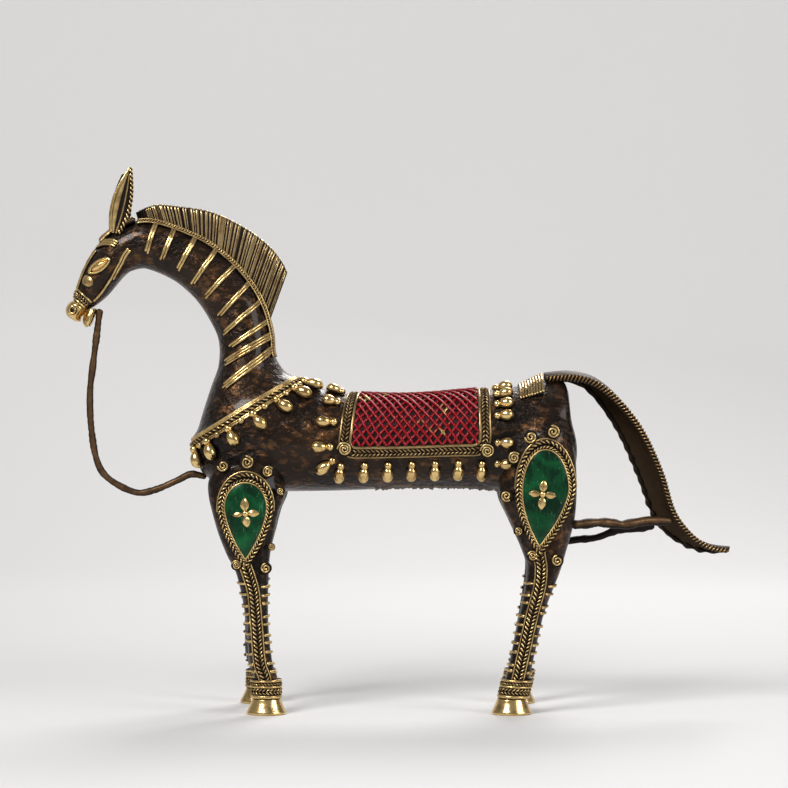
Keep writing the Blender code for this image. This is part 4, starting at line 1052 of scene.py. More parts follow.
@dataclass(frozen=True)
class PitEnamel(Finish):
    """The cloth under the net: almost black, with pools of dark red enamel."""

    name: str = "pit_glaze"
    black: Colour = (0.006, 0.003, 0.003)
    red: Colour = (0.055, 0.002, 0.003)

    def mixed(self, recipe: Recipe) -> bpy.types.Material:
        """The finish in a fresh recipe."""
        pools = recipe.noise(240.0, 3.0)
        fine = recipe.noise(1300.0, 2.0)
        return recipe.finish(
            Base_Color=recipe.mix(pools.between(0.48, 0.66), self.black, self.red),
            Roughness=0.35 + fine * 0.25,
            Specular_IOR_Level=0.15,
            Normal=recipe.bump(pools * 0.5 + fine * 0.5, 0.0005),
        )


@dataclass(frozen=True)
class PanelEnamel(Finish):
    """Green enamel in the cells: deep and glossy, clouded, with fine pale scratches."""

    name: str = "panel_glaze"
    green: Colour = (0.003, 0.078, 0.022)
    deep: Colour = (0.001, 0.016, 0.006)
    pale: Colour = (0.16, 0.30, 0.19)

    def mixed(self, recipe: Recipe) -> bpy.types.Material:
        """The finish in a fresh recipe."""
        relief = recipe.attribute("relief")
        cloud = recipe.noise(110.0, 4.0, distortion=0.5)
        scratch = recipe.noise(500.0, 2.0, 0.4, 1.5, stretch=(3.0, 1.0, 0.35))
        specks = recipe.noise(900.0, 2.0)
        base = recipe.mix(cloud.between(0.38, 0.68), self.deep, self.green)
        marks = scratch.between(0.66, 0.72) * 0.5 + specks.between(0.70, 0.74) * 0.5
        edge = relief.between(0.75, 1.0) * 0.5
        return recipe.finish(
            Base_Color=recipe.mix((marks * 0.5 + edge * 0.4).math("MINIMUM", 1.0), base, self.pale),
            Roughness=0.14 + cloud * 0.12 + marks * 0.2,
            Specular_IOR_Level=0.25,
            Normal=recipe.bump(cloud * 0.5 - marks * 0.2, 0.0004),
        )


@dataclass(frozen=True)
class FiredClay(Finish):
    """The clay and sand left inside: grey-brown and gritty."""

    name: str = "fired_clay"

    def mixed(self, recipe: Recipe) -> bpy.types.Material:
        """The finish in a fresh recipe."""
        grit = recipe.noise(900.0, 5.0, 0.7)
        patch = recipe.noise(150.0, 3.0)
        return recipe.finish(
            Base_Color=recipe.mix(patch, (0.07, 0.055, 0.045), (0.24, 0.20, 0.165)),
            Roughness=0.9 - grit * 0.1,
            Normal=recipe.bump(grit, 0.0008),
        )


@dataclass(frozen=True)
class PaleGround(Finish):
    """The studio's pale paper sweep."""

    name: str = "pale_paper"
    colour: Colour = (0.62, 0.61, 0.60)
    near_end: float = 0.20
    far_end: float = 1.50
    glow: float = 0.62

    def mixed(self, recipe: Recipe) -> bpy.types.Material:
        """The finish in a fresh recipe.

        The far end glows a little for the camera and in reflections, and so stays pale.
        """
        ray = recipe.node("ShaderNodeLightPath", {}, {})
        seen = sum(
            (Value(recipe, ray.outputs[f"Is {kind} Ray"]) for kind in ("Glossy", "Transmission")),
            Value(recipe, ray.outputs["Is Camera Ray"]),
        )
        spot = recipe.node("ShaderNodeSeparateXYZ", {}, {0: recipe.place()})
        far = Value(recipe, spot.outputs["Y"]).between(self.near_end, self.far_end)
        cloud = recipe.noise(3.0, 2.0)
        light = tuple(value * 1.05 for value in self.colour)
        glow = (far * seen * self.glow).math("MINIMUM", 1.0)
        return recipe.finish(
            Base_Color=recipe.mix(cloud, self.colour, light),
            Roughness=0.7,
            Emission_Color=recipe.mix(glow, (0.0, 0.0, 0.0), self.colour),
            Emission_Strength=1.0,
        )


GOLD = CastBrass("gold_crest")
SOLID_GOLD = CastBrass("solid_gold", wear_from=0.12, wear_to=0.45)
TRIM = CastBrass(
    "trim_crest",
    crest=(0.50, 0.34, 0.15),
    tarnish=(0.14, 0.07, 0.03),
    wear_from=0.62,
    wear_to=1.06,
)
COMB = CastBrass("comb_crest", crest=(0.66, 0.48, 0.23), wear_from=0.50, wear_to=0.92)
BAND = CastBrass("band_crest", crest=(0.40, 0.26, 0.12), wear_from=0.55, wear_to=1.0)
COPPER = CastBrass(
    "coppery_crest",
    middle=(0.018, 0.011, 0.007),
    crest=(0.22, 0.12, 0.055),
    tarnish=(0.06, 0.032, 0.016),
    wear_from=0.78,
    wear_to=1.20,
    crest_roughness=0.30,
)
SKIN = DarkSkin()
RED = WireEnamel()
PITS = PitEnamel()
GREEN = PanelEnamel()
CLAY = FiredClay()


def linked(name: str, data: bpy.types.ID) -> bpy.types.Object:
    """A new object in the scene."""
    made = bpy.data.objects.new(name, data)
    bpy.context.collection.objects.link(made)
    return made


def show(name: str, shape: Shape, finish: Finish, slot: str, *nodes: str) -> bpy.types.Object:
    """Put a piece on the horse.

    Args:
        name: The piece's name.
        shape: Its shape, in place.
        finish: The finish that it is dressed in.
        slot: The record's material slot; it is not used.
        nodes: The solids that it stands for.

    Returns:
        The object.
    """
    mesh = shape.mesh(name)
    mesh.materials.append(finish.material())
    piece = linked(name, mesh)
    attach(piece, "root")
    if nodes:
        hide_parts(*nodes)
    log.info("%s: %d faces", name, len(mesh.polygons))
    return piece


def pair(name: str, shape: Shape, finish: Finish, slot: str, node: str = "", stride: float = 0.0) -> None:
    """Put a piece on both sides: a star in its name and its node's stands for the side."""
    for side in Side:
        nodes = [node.replace("*", side.value)] if node else []
        show(name.replace("*", side.value), shape.on_side(side, stride), finish, slot, *nodes)


@dataclass
class Barrel:
    """The hollow body with its two vents, and the clay inside."""

    body: Limb
    legs: tuple[Limb, Limb]
    chest_x: float
    wall: float = 0.0026
    vent_places: tuple[float, float] = (0.520, 0.675)
    vent_length: float = 0.0100
    vent_width: float = 0.0042

    def make(self) -> None:
        """Build the skin, cut the vents and dress the clay."""
        outer = self.body.skin(220, 128, 0.5, *(Join(leg, 2) for leg in self.legs))
        t = np.linspace(0.09, 0.93, 60)[:, None]
        angle = ring_angles(48)[None]
        inner = skin(self.body.core(t, angle, -self.wall), 0.0).flipped()
        hull = show("barrel_skin", joined([outer, inner]), SKIN, "bronze", "body_shell")
        self.cut(hull)
        show("belly_clay", joined([self.rag(sign) for sign in (1, -1)]), CLAY, "clay")
        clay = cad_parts["clay_core"]
        clay.data.materials.clear()
        clay.data.materials.append(CLAY.material())

    def rag(self, sign: int) -> Shape:
        """A ragged crust of clay along one side of the belly."""
        t = np.linspace(0.42, 0.74, 200)[:, None]
        share = np.linspace(0, 1, 9)[None]
        low = 159 + 5 * noise_line(t, 0.06, 51) + 2 * noise_line(t, 0.015, 52)
        angle = sign * np.radians(low + (172 - low) * share)
        rise = 0.0006 + 0.0005 * noise_line(t, 0.008, 53) + 0.0003 * noise_line(t * 3 + share, 0.05, 54)
        rise = rise * np.sin(math.pi * (0.05 + 0.9 * share))
        return shell(self.body.on(t, angle, -0.0004), self.body.on(t, angle, rise))

    def cut(self, hull: bpy.types.Object) -> None:
        """Cut the vents: slots with round ends, extruded through the wall of the belly."""
        turn = ring_angles(24)
        half = self.vent_length / 2 - self.vent_width / 2
        x = np.cos(turn) * self.vent_width / 2 + np.sign(np.cos(turn)) * half
        y = np.sin(turn) * self.vent_width / 2
        slots = []
        for place in self.vent_places:
            middle = self.chest_x + BODY_LENGTH * place
            heights = BELLY_HEIGHT + np.array([-self.wall, 2 * self.wall])
            loops = np.stack([
                np.broadcast_to(middle + x, (2, 24)),
                np.broadcast_to(y, (2, 24)),
                np.broadcast_to(heights[:, None], (2, 24)),
            ], -1)
            slots.append(skin(loops, 0.0))
        tool = linked("vents", joined(slots).mesh("vents"))
        change = hull.modifiers.new("vents", "BOOLEAN")
        change.object = tool
        change.operation = "DIFFERENCE"
        change.solver = "EXACT"
        graph = bpy.context.evaluated_depsgraph_get()
        done = bpy.data.meshes.new_from_object(hull.evaluated_get(graph))
        hull.modifiers.clear()
        hull.data = done
        bpy.data.objects.remove(tool)


@dataclass
class Neck:
    """The neck with the ribbed mane, the roped crest and the strands down each side."""

    neck: Limb
    mane_height: float = 0.0236
    mane_thickness: float = 0.0046
    mane_start: float = 0.98
    mane_end: float = 0.375
    ribs: int = 52
    rib_depth: float = 0.0008
    strand_radius: float = 0.00062
    strands: tuple = (
        (0.858, 0.862, 114), (0.785, 0.770, 119), (0.710, 0.692, 125), (0.639, 0.623, 132),
        (0.574, 0.566, 131), (0.510, 0.489, 128), (0.440, 0.424, 136), (0.374, 0.366, 122),
        (0.326, 0.318, 132), (0.270, 0.212, 119),
    )

    def make(self) -> None:
        """Build and dress the pieces."""
        show("neck_skin", self.neck.skin(150, 64), SKIN, "bronze", "neck")
        show("mane", self.mane(), COMB, "copper", "mane_comb")
        pair("neck_cords_*_cast", joined([self.crest(), self.all_strands()]), GOLD, "gold", "neck_cords_*")

    def mane(self) -> Shape:
        """The comb: a round-topped section carried along the crest.

        Its half thickness and its height fall between ribs by a rib's depth times one minus
        the height of a half circle over each rib.
        """
        share = np.linspace(0, 1, self.ribs * 8 + 1)
        t = self.mane_start + (self.mane_end - self.mane_start) * share
        foot = self.neck.on(t, 0.0, SEAT_GAP)
        turned = np.clip((share - 0.15) / 0.70, 0, 1)
        lean = np.radians(89) + np.radians(19) * np.cos(math.pi * turned)
        rise = self.mane_height * (0.15 + 0.85 * share)
        waver = noise_line(share * 0.11, 0.006, 3) * 0.35
        phase = (share * self.ribs + waver) % 1.0
        bulge = np.sqrt(np.clip(1 - (2 * phase - 1) ** 2, 0, 1))
        section = np.array([
            (-1.0, -0.30), (-1.0, 0.02), (-0.98, 0.18), (-0.94, 0.36), (-0.88, 0.54), (-0.81, 0.70),
            (-0.72, 0.83), (-0.56, 0.925), (-0.32, 0.98), (0.0, 1.0),
        ])
        section = np.concatenate([section, section[-2::-1] * (-1, 1)])
        across, along = section[:, 0], section[:, 1]
        top = rise - self.rib_depth * 0.9 * (1 - bulge)
        half = self.mane_thickness / 2 - self.rib_depth * (1 - bulge)
        up = np.stack([np.cos(lean), np.zeros_like(lean), np.sin(lean)], -1)
        reach = np.where(along < 0, along * self.mane_thickness, along * top[:, None])
        loops = foot[:, None] + up[:, None] * reach[..., None]
        loops[..., 1] += across[None] * half[:, None]
        lit = bulge**5 * np.clip(share * 12 - 0.4, 0, 1)
        relief = lit[:, None] * np.clip(0.85 + 0.3 * along, 0, 1)[None]
        return skin(loops, relief)

    def crest_angle(self, t: Array) -> Array:
        """Where the crest band's middle lies beside the foot of the mane."""
        beside = self.mane_thickness / 2 + SEAT_GAP + 0.0036 * 0.55
        return np.arcsin(np.minimum(beside / self.neck.station(t)[..., 4], 0.8))

    def crest(self) -> Shape:
        """The crest band: a plain cord, a braid and a plain cord."""
        t = np.linspace(0.98, 0.22, 90)
        middle = self.neck.route(t, self.crest_angle(t), 0.0006)
        return edged_braid(middle, middle.moved(0.0, 0.0001), 0.00062, 0.00165, seed=1)

    def all_strands(self) -> Shape:
        """The strands down the neck: two threads side by side, and three in the last two strands."""
        share = np.linspace(0, 1, 24)
        threads = []
        for number, (top, bottom, reach) in enumerate(self.strands):
            t = top + (bottom - top) * share
            first = self.crest_angle(t) + math.radians(2)
            angle = first + (math.radians(reach) - first) * share
            middle = self.neck.route(t, angle, self.strand_radius * 0.75)
            shifts = (-1.9, 0.0, 1.9) if number >= 8 else (-0.95, 0.95)
            for place, shift in enumerate(shifts):
                line = middle.part(0.0, 1.0 - 0.05 * ((number + place) % 2))
                threads.append(cord(
                    line.moved(shift * self.strand_radius),
                    self.strand_radius,
                    seed=10 * number + place,
                    uneven=0.10,
                ))
        return joined(threads)


@dataclass
class Head:
    """The head with its muzzle, chin, eyes, ears, bands, straps and ridge cords."""

    head: Limb
    muzzle: Limb
    jaw: Limb
    nostril_place: tuple[float, float] = (0.56, math.radians(84))
    nostril_radius: float = 0.0016
    eye_length: float = 0.0126
    eye_height: float = 0.0048
    eye_bulge: float = 0.0019
    ear_width: float = 0.0082
    ear_wall: float = 0.0014

    def make(self) -> None:
        """Build and dress the pieces."""
        show("head_skin", self.head.skin(90, 64), SKIN, "bronze", "head")
        show("muzzle_cast", self.snout(), SOLID_GOLD, "gold", "muzzle")
        # Dark discs in the nostrils: painted shade of the holes.
        show("nostril_shade_floors", self.nostrils(), SKIN, "bronze")
        show("lower_jaw_cast", self.chin(), SOLID_GOLD, "gold", "lower_jaw")
        show("browband_cords", self.browband(), GOLD, "gold", "browband")
        show("noseband_braid", self.noseband(), GOLD, "gold", "noseband")
        show("ridge_cords", self.ridge(), GOLD, "gold")
        pair("cheek_strap_*_cords", self.strap(), GOLD, "gold", "cheek_strap_*")
        pair("eye_*_cast", self.eye(), SOLID_GOLD, "gold", "eye_*")
        for side, length, backward in ((Side.LEFT, 0.0312, 0.24), (Side.RIGHT, 0.0288, 0.08)):
            ear = self.ear(length, backward).on_side(side)
            show(f"ear_{side.value}_cast", ear, GOLD, "gold", f"ear_{side.value}")

    def snout(self) -> Shape:
        """The muzzle with two nostrils: pits that sink by a smooth step of the distance, with rings. The
        relief falls to 0 in the pits, which paints shade into them.
        """
        t = np.linspace(0, 1, 72)[:, None]
        angle = ring_angles(96)[None]
        loops = self.muzzle.core(t, angle)
        relief = np.full(loops.shape[:2], 0.8)
        rings = []
        for sign in (1, -1):
            place, turn = self.nostril_place[0], sign * self.nostril_place[1]
            middle, out = self.muzzle.core(place, turn), self.muzzle.normal(place, turn)
            away = np.linalg.norm(loops - middle, axis=-1) / (self.nostril_radius * 1.15)
            depth = np.clip(1.25 - away, 0, 1) ** 0.7
            loops = loops - out * (0.0016 * depth)[..., None]
            # Painted shade: the relief, and so the colour, falls dark towards the middle of each nostril
            # pit.
            relief = relief * (1 - depth)
            rings.append(self.ring_cord(middle, out, self.nostril_radius, 0.00045))
        return joined([skin(loops, relief), *rings])

    def nostrils(self) -> Shape:
        """Dark floors set in the nostrils: painted shade of the holes."""
        floors = []
        for sign in (1, -1):
            place = (self.nostril_place[0], sign * self.nostril_place[1])
            out = self.muzzle.normal(*place)
            floors.append(bead(self.muzzle.core(*place) - out * 0.0003, out, 0.0013, 0.3))
        return joined(floors)

    def ring_cord(self, middle: Array, out: Array, radius: float, thread: float) -> Shape:
        """A thread bent to a ring about a place on a surface."""
        side, up = square_to(out)
        turn = ring_angles(28)[:, None]
        points = middle + (side * np.cos(turn) * 0.85 + up * np.sin(turn)) * radius + out * thread * 0.4
        return cord(flat_route(points, out, closed=True), thread, step=0.0004)

    def chin(self) -> Shape:
        """The lower lip with an upright thread down its front."""
        t = np.linspace(0.1, 0.9, 20)
        front = self.jaw.route(t, np.zeros(20), 0.0003)
        return joined([self.jaw.skin(48, 40, relief=0.7), cord(front, 0.0008, seed=5)])

    def browband(self) -> Shape:
        """Three threads over the forehead."""
        angle = np.linspace(-1, 1, 48) * math.radians(72)
        middle = self.head.route(0.385 - 0.23 * np.sin(angle) ** 2, angle, 0.0006)
        shifts = (-0.0012, 0.0, 0.0012)
        return joined([cord(middle.moved(shift), 0.00062, seed=k) for k, shift in enumerate(shifts)])

    def noseband(self) -> Shape:
        """A thread, a braid and a thread over the nose."""
        angle = np.linspace(-1, 1, 64) * math.radians(128)
        middle = self.head.route(np.full(64, 0.895), angle, 0.0005)
        return edged_braid(middle, middle, 0.00072, 0.0020, seed=3)

    def ridge(self) -> Shape:
        """Threads down the ridge of the nose and up the forehead, and a gold bead on each cheek as a
        painted highlight.
        """
        nose, brow = np.linspace(0.42, 0.865, 30), np.linspace(0.01, 0.345, 24)
        threads = [
            cord(self.head.route(nose, np.zeros(30), 0.0004), 0.00075, seed=6),
            cord(self.head.route(brow, np.zeros(24), 0.0013), 0.00125, seed=7, uneven=0.12),
        ]
        for sign in (1, -1):
            threads.append(cord(self.head.route(nose, np.full(30, sign * 0.45), 0.0003), 0.00055, seed=8))
            threads.append(cord(self.head.route(brow, np.full(24, sign * 0.36), 0.0010), 0.00095, seed=9))
        # A flattened gold bead sunk into each cheek: a painted highlight where the cheek catches the
        # light.
        for sign in (1, -1):
            cheek = (0.70, sign * math.radians(62))
            threads.append(bead(self.head.on(*cheek, -0.0019), self.head.normal(*cheek), 0.0040, 0.60))
        return joined(threads)

    def strap(self) -> Shape:
        """Two threads down the cheek, of which one ends halfway."""
        t = np.linspace(0.06, 0.80, 40)
        angle = np.radians(np.interp(t, (0.05, 0.20, 0.40, 0.62), (96, 118, 131, 136)))
        middle = self.head.route(t, angle, 0.0005)
        return joined([
            cord(middle.moved(0.00062), 0.00062, seed=11),
            cord(middle.part(0.0, 0.55).moved(-0.00062), 0.00062, seed=12),
        ])

    def eye(self) -> Shape:
        """An almond: a rim thread round a dome, whose height is that of a half ellipse."""
        place = (0.462, math.radians(77))
        middle, out = self.head.on(*place, SEAT_GAP), self.head.normal(*place)
        down = self.head.core(0.631, math.radians(59)) - self.head.core(0.321, math.radians(91))
        down = unit(down - out * np.dot(out, down))
        across = np.cross(out, down)
        turn = ring_angles(40)
        length = self.eye_length / 2 * np.cos(turn)
        width = self.eye_height / 2 * np.sin(turn) * np.abs(np.sin(turn)) ** 0.5
        edge = down * length[:, None] + across * width[:, None]
        rim = flat_route(middle + edge * 0.92 + out * 0.0004, out, closed=True)
        q = np.linspace(0, 1, 12)
        size = np.cos(q * math.pi / 2 * 0.98) * 0.72
        height = np.sin(q * math.pi / 2) * self.eye_bulge
        dome = middle + edge[None] * size[:, None, None] + out * height[:, None, None]
        relief = np.clip(q * 2.2, 0, 1.1)[:, None]
        return joined([cord(rim, 0.00062, step=0.0004), skin(dome, relief)])

    def ear(self, length: float, backward: float) -> Shape:
        """A cupped leaf: a bright front wall, a dark hollow with a thread in it and a roped rear edge.

        Args:
            length: Its length from the poll to the tip.
            backward: How far it leans back, as a share of its height.

        Returns:
            The ear of the left side.
        """
        foot = self.head.core(0.17, math.radians(40)) + np.array([0.0, 0.0, SEAT_GAP * 3])
        lean = unit(np.array([backward, -0.06, 1.0]))
        fore = np.array([-1.0, 0.0, 0.10])
        fore = unit(fore - lean * np.dot(fore, lean))
        out = np.cross(fore, lean)
        out = -out if out[1] > 0 else out
        share = np.linspace(0, 1, 40)[:, None]
        v = np.linspace(-1, 1, 32)[None]
        half = self.ear_width / 2 * (0.40 + 0.75 * np.sin(math.pi * share**0.9) - 0.34 * share)
        curl = 0.6 * half * (v * v - 0.35)
        inner = foot + lean * (length * share)[..., None] + fore * (half * v)[..., None]
        inner = inner + out * curl[..., None]
        outer = inner + out * (self.ear_wall * (1.3 - 0.3 * share))[..., None]
        places, heights = (-1.0, -0.9, 0.10, 0.30, 0.7, 1.0), (0.3, -0.3, -0.3, 0.75, 0.9, 0.4)
        relief = np.interp(v, places, heights)
        middle = (inner + outer) / 2
        normals = np.broadcast_to(out, (40, 3))
        return joined([
            shell(inner, outer, relief),
            rope(Route(middle[:, 0], normals), 0.0011, 0.0042, Hand.RIGHT, end_size=0.7),
            cord(Route(outer[:36, 11], normals[:36]), 0.0005, seed=14, end_size=0.7),
            cord(Route(middle[:, -1], normals), 0.0009, seed=13, end_size=0.7),
        ])


@dataclass
class Drop:
    """A hanging drop: a small ball over a pear, along a line on a limb."""

    limb: Limb
    radius: float = 0.0026
    ball: float = 0.70

    def shape(self, t: float, angle: float, along_t: int, along_angle: int, length: float) -> Shape:
        """One drop.

        The radius at a share of the length is the greater of two half ellipses: the ball's,
        and the pear's, which is longer above its widest place than below. A thin neck joins them.

        Args:
            t: The share of the limb's length at the top of the drop.
            angle: The angle round the limb there.
            along_t: 1 or -1 where the drop runs along the limb, else 0.
            along_angle: 1 or -1 where it runs round the limb, else 0.
            length: Its length.

        Returns:
            The drop.
        """
        share = 0.5 - 0.5 * np.cos(np.linspace(0.06, math.pi - 0.05, 22))
        middle = (self.limb.core(t, 0.0) + self.limb.core(t, math.pi)) / 2
        far = np.linalg.norm(self.limb.core(t, angle) - middle)
        places = self.limb.walk(t, angle, along_t * length * share) if along_t else np.full(22, t)
        turns = angle + along_angle * length / far * share
        ball = self.ball * np.sqrt(np.clip(1 - ((share - 0.15) / 0.15) ** 2, 0, 1))
        lower = np.where(share < 0.72, (share - 0.72) / 0.46, (share - 0.72) / 0.28)
        pear = np.sqrt(np.clip(1 - lower**2, 0, 1))
        neck = np.where((share > 0.12) & (share < 0.5), 0.40, 0.0)
        size = np.maximum(np.maximum(ball, pear), np.maximum(neck, 0.05)) * self.radius
        base = self.limb.route(places, turns)
        line = base.moved(0.0, size * 0.62)
        angles = TAU * np.arange(12)[None] / 12
        return swept(line, angles, size[:, None], np.clip(0.70 + 0.7 * np.sin(angles), 0, 1.1))


@dataclass
class Collar:
    """The collar: three thin threads, a bold rope, two threads, balls and hanging drops."""

    body: Limb
    width: float = 0.0048
    drop_length: float = 0.0096
    drop_radius: float = 0.0029
    ball_radius: float = 0.0016

    def make(self) -> None:
        """Build and dress the collar."""
        turn = ring_angles(180)
        bands = []
        for number, (away, radius) in enumerate((
            (-0.00005, 0.00036),
            (0.00060, 0.00040),
            (0.00125, 0.00040),
            (0.00390, 0.00045),
            (0.00475, 0.00050),
        )):
            bands.append(cord(self.ring(turn, away, radius * 0.8), radius, seed=number))
        bands.append(rope(self.ring(turn, 0.00255, 0.0007), 0.00100, 0.0050, Hand.LEFT))
        drop = Drop(self.body, self.drop_radius)
        for angle in each_way(14, 36, 59, 83, 108, 134, 160):
            t = float(self.body.walk(0.0, angle, self.width * 0.80))
            bands.append(drop.shape(t, angle, 1, 0, self.drop_length))
        for angle in each_way(25, 47, 71, 95, 121, 147):
            t = float(self.body.walk(0.0, angle, self.width * 1.02))
            foot, out = self.body.on(t, angle, 0.0009), self.body.normal(t, angle)
            bands.append(bead(foot, out, self.ball_radius, 0.7))
        show("collar_cast", joined(bands), GOLD, "gold", "collar")

    def ring(self, turn: Array, away: float, lift: float) -> Route:
        """A ring round the front of the barrel at a distance from the seam."""
        return self.body.route(self.body.walk(0.0, turn, away), turn, lift, closed=True)


@dataclass
class Saddle:
    """The saddle cloth: a dark bed, the red net, and the roped border with drops and coils."""

    body: Limb
    chest_x: float
    front_share: float = 0.4360
    length: float = BODY_LENGTH * 0.3144
    slant: float = 0.0046
    spread: float = math.radians(96)
    border_width: float = 0.0080
    cells_long: int = 14
    cells_round: int = 14
    wire: float = 0.00062
    front_drops: tuple = ((10, 1.00), (38, 1.00), (66, 1.15), (94, 1.20))
    rear_drops: tuple = (13, 31, 47, 62, 92, 115)
    fringe: int = 7
    side_drop: float = 0.0083
    fringe_drop: float = 0.0090
    corner_drop: float = 0.0062
    corner_coil: float = 0.0038
    front: float = field(init=False)
    rear: float = field(init=False)
    x_low: float = field(init=False)
    x_high: float = field(init=False)
    edge: float = field(init=False)

    def __post_init__(self) -> None:
        """Work out the ends of the cloth and of the net that it carries."""
        self.front = self.chest_x + BODY_LENGTH * self.front_share
        self.rear = self.front + self.length
        inset = self.border_width * 0.14
        self.x_low, self.x_high = self.front + inset, self.rear - inset
        self.edge = self.spread - inset / (BARREL_WIDTH / 2)

    def make(self) -> None:
        """Build and dress the pieces."""
        show("saddle_bed", self.bed(), PITS, "red_enamel", "saddle_lattice")
        show("saddle_net", self.net(), RED, "red_enamel")
        show("saddle_border_cast", self.border(), TRIM, "gold", "saddle_border")
        show("saddle_drops_cast", self.drops(), GOLD, "gold")

    def share(self, x: Array | float, angle: Array | float) -> Array:
        """The barrel's shares at places of the cloth, whose front edge slants forward going down."""
        slant = self.slant * np.abs(angle) / self.spread * (self.rear - x) / self.length
        return self.body.share_at(0, x - np.maximum(slant, 0.0), angle)

    def over(self, x: Array, angle: Array, lift: float, closed: bool = False) -> Route:
        """A route over the barrel through places along X and angles from the back."""
        return self.body.route(self.share(x, angle), angle, lift, closed)

    def bed(self) -> Shape:
        """The bed: a thin plate over the barrel."""
        x, angle = np.meshgrid(
            np.linspace(self.x_low, self.x_high, 60), np.linspace(-self.edge, self.edge, 72), indexing="ij"
        )
        t = self.share(x, angle)
        return shell(self.body.on(t, angle, -0.0002), self.body.on(t, angle, 0.0006))

    def net(self) -> Shape:
        """The net: two families of wires along the diagonals of a grid of cells.

        A wire runs where the cell number along X plus, or minus, the number round the barrel
        keeps its value, with a slight waver.
        """
        wires = []
        long, around = self.cells_long, self.cells_round
        for slope, lift in ((1, 0.00145), (-1, 0.00075)):
            for start in range(-around, long + around + 1):
                v = np.linspace(0, around, around * 5 + 1)
                u = start + slope * v
                inside = (u >= -1e-9) & (u <= long + 1e-9)
                if inside.sum() < 4:
                    continue
                u, v = u[inside], v[inside]
                seed = 100 + start + 50 * slope
                u = u + 0.10 * noise_line(v * 0.005, 0.02, seed)
                x = self.x_low + (self.x_high - self.x_low) * np.clip(u / long, 0, 1)
                angle = -self.edge + 2 * self.edge * v / around
                wires.append(cord(self.over(x, angle, lift), self.wire, sides=7, step=0.0008, seed=seed))
        return joined(wires)

    def outline(self, grow: float, lift: float) -> Route:
        """A rectangle with round corners about the net, grown by a distance."""
        radius = BARREL_WIDTH / 2 + 0.001
        corner = 0.0022 + grow
        x0, x1 = self.x_low - grow, self.x_high + grow
        a1 = self.edge + grow / radius
        bend = np.linspace(0, math.pi / 2, 9)
        x, angle = [], []
        for cx, ca, first in (
            (x1 - corner, a1 - corner / radius, 0.0),
            (x0 + corner, a1 - corner / radius, math.pi / 2),
            (x0 + corner, -a1 + corner / radius, math.pi),
            (x1 - corner, -a1 + corner / radius, 3 * math.pi / 2),
        ):
            x.append(cx + corner * np.cos(first + bend))
            angle.append(ca + corner / radius * np.sin(first + bend))
        x, angle = np.concatenate(x), np.concatenate(angle)
        x, angle = np.append(x, x[0]), np.append(angle, angle[0])
        way = np.concatenate([[0], np.cumsum(np.hypot(np.diff(x), np.diff(angle) * radius))])
        fine = np.linspace(0, way[-1], 480, endpoint=False)
        return self.over(np.interp(fine, way, x), np.interp(fine, way, angle), lift, closed=True)

    def border(self) -> Shape:
        """The border: a plain cord, two opposite ropes and a thin cord."""
        return joined([
            cord(self.outline(0.0008, 0.0007), 0.00075, seed=21),
            rope(self.outline(0.0024, 0.0008), 0.00092, 0.0042, Hand.LEFT),
            rope(self.outline(0.0041, 0.0007), 0.00084, 0.0038, Hand.RIGHT),
            cord(self.outline(0.0054, 0.0004), 0.00048, seed=22),
        ])

    def drops(self) -> Shape:
        """The drops round the border and the coils on its corners."""
        parts = []
        drop = Drop(self.body)
        half = self.border_width / 2 + SEAT_GAP
        around = half / (BARREL_WIDTH / 2)
        x0, x1 = self.front - half, self.rear + half
        a1 = self.spread + around
        below = a1 + around * 0.5
        long = self.side_drop
        sides = [(degrees, x0 - half * 0.5, -1, long * size) for degrees, size in self.front_drops]
        sides += [(degrees, x1 + half * 0.5, 1, long) for degrees in self.rear_drops]
        for sign in (1, -1):
            for x in np.linspace(x0 + 0.0021, x1 - 0.0037, self.fringe):
                t = float(self.share(x, sign * below))
                parts.append(drop.shape(t, sign * below, 0, sign, self.fringe_drop))
            for degrees, x, way, length in sides:
                angle = sign * math.radians(degrees)
                parts.append(drop.shape(float(self.share(x, angle)), angle, way, 0, length))
            t = float(self.share(x0 - 0.0010, sign * a1))
            parts.append(drop.shape(t, sign * a1, -1, sign, self.corner_drop))
        for x, inwards in ((x0 + 0.0026, 0.20), (x1 - 0.0014, 0.12)):
            for sign in (1, -1):
                angle = sign * (a1 - inwards)
                t = self.share(x, angle)
                foot, out = self.body.on(t, angle, 0.0014), self.body.normal(t, angle)
                parts.append(coil(foot, out, self.corner_coil, turns=2.6))
        return joined(parts)


@dataclass
class Crupper:
    """The ribbed wrap over the rump."""

    body: Limb
    chest_x: float
    front_share: float = 0.852
    length: float = 0.0115
    spread: float = math.radians(42)
    ribs: int = 9
    swell: float = 0.0024

    def make(self) -> None:
        """Build and dress the ribs: threads side by side over a pad that swells to the rear."""
        angle = np.linspace(-self.spread, self.spread, 40)[None]
        front = self.chest_x + BODY_LENGTH * self.front_share
        radius = self.length / self.ribs / 2 * 0.98
        x = np.linspace(front + radius, front + self.length - radius, self.ribs)[:, None]
        t = self.body.share_at(0, x, angle)
        rise = SEAT_GAP + self.swell * np.linspace(0, 1, self.ribs)[:, None] * np.cos(angle) ** 2
        turn = angle + 0 * x
        ribs = [shell(self.body.on(t, turn, 0.0001), self.body.on(t, turn, rise + radius * 0.5), 0.0)]
        for number in range(self.ribs):
            points = self.body.on(t[number], turn[number], rise[number] + radius * 0.8)
            line = Route(points, self.body.normal(t[number], turn[number]))
            ribs.append(cord(line, radius, seed=30 + number, uneven=0.12))
        show("crupper_ribs", joined(ribs), COMB, "gold", "crupper")


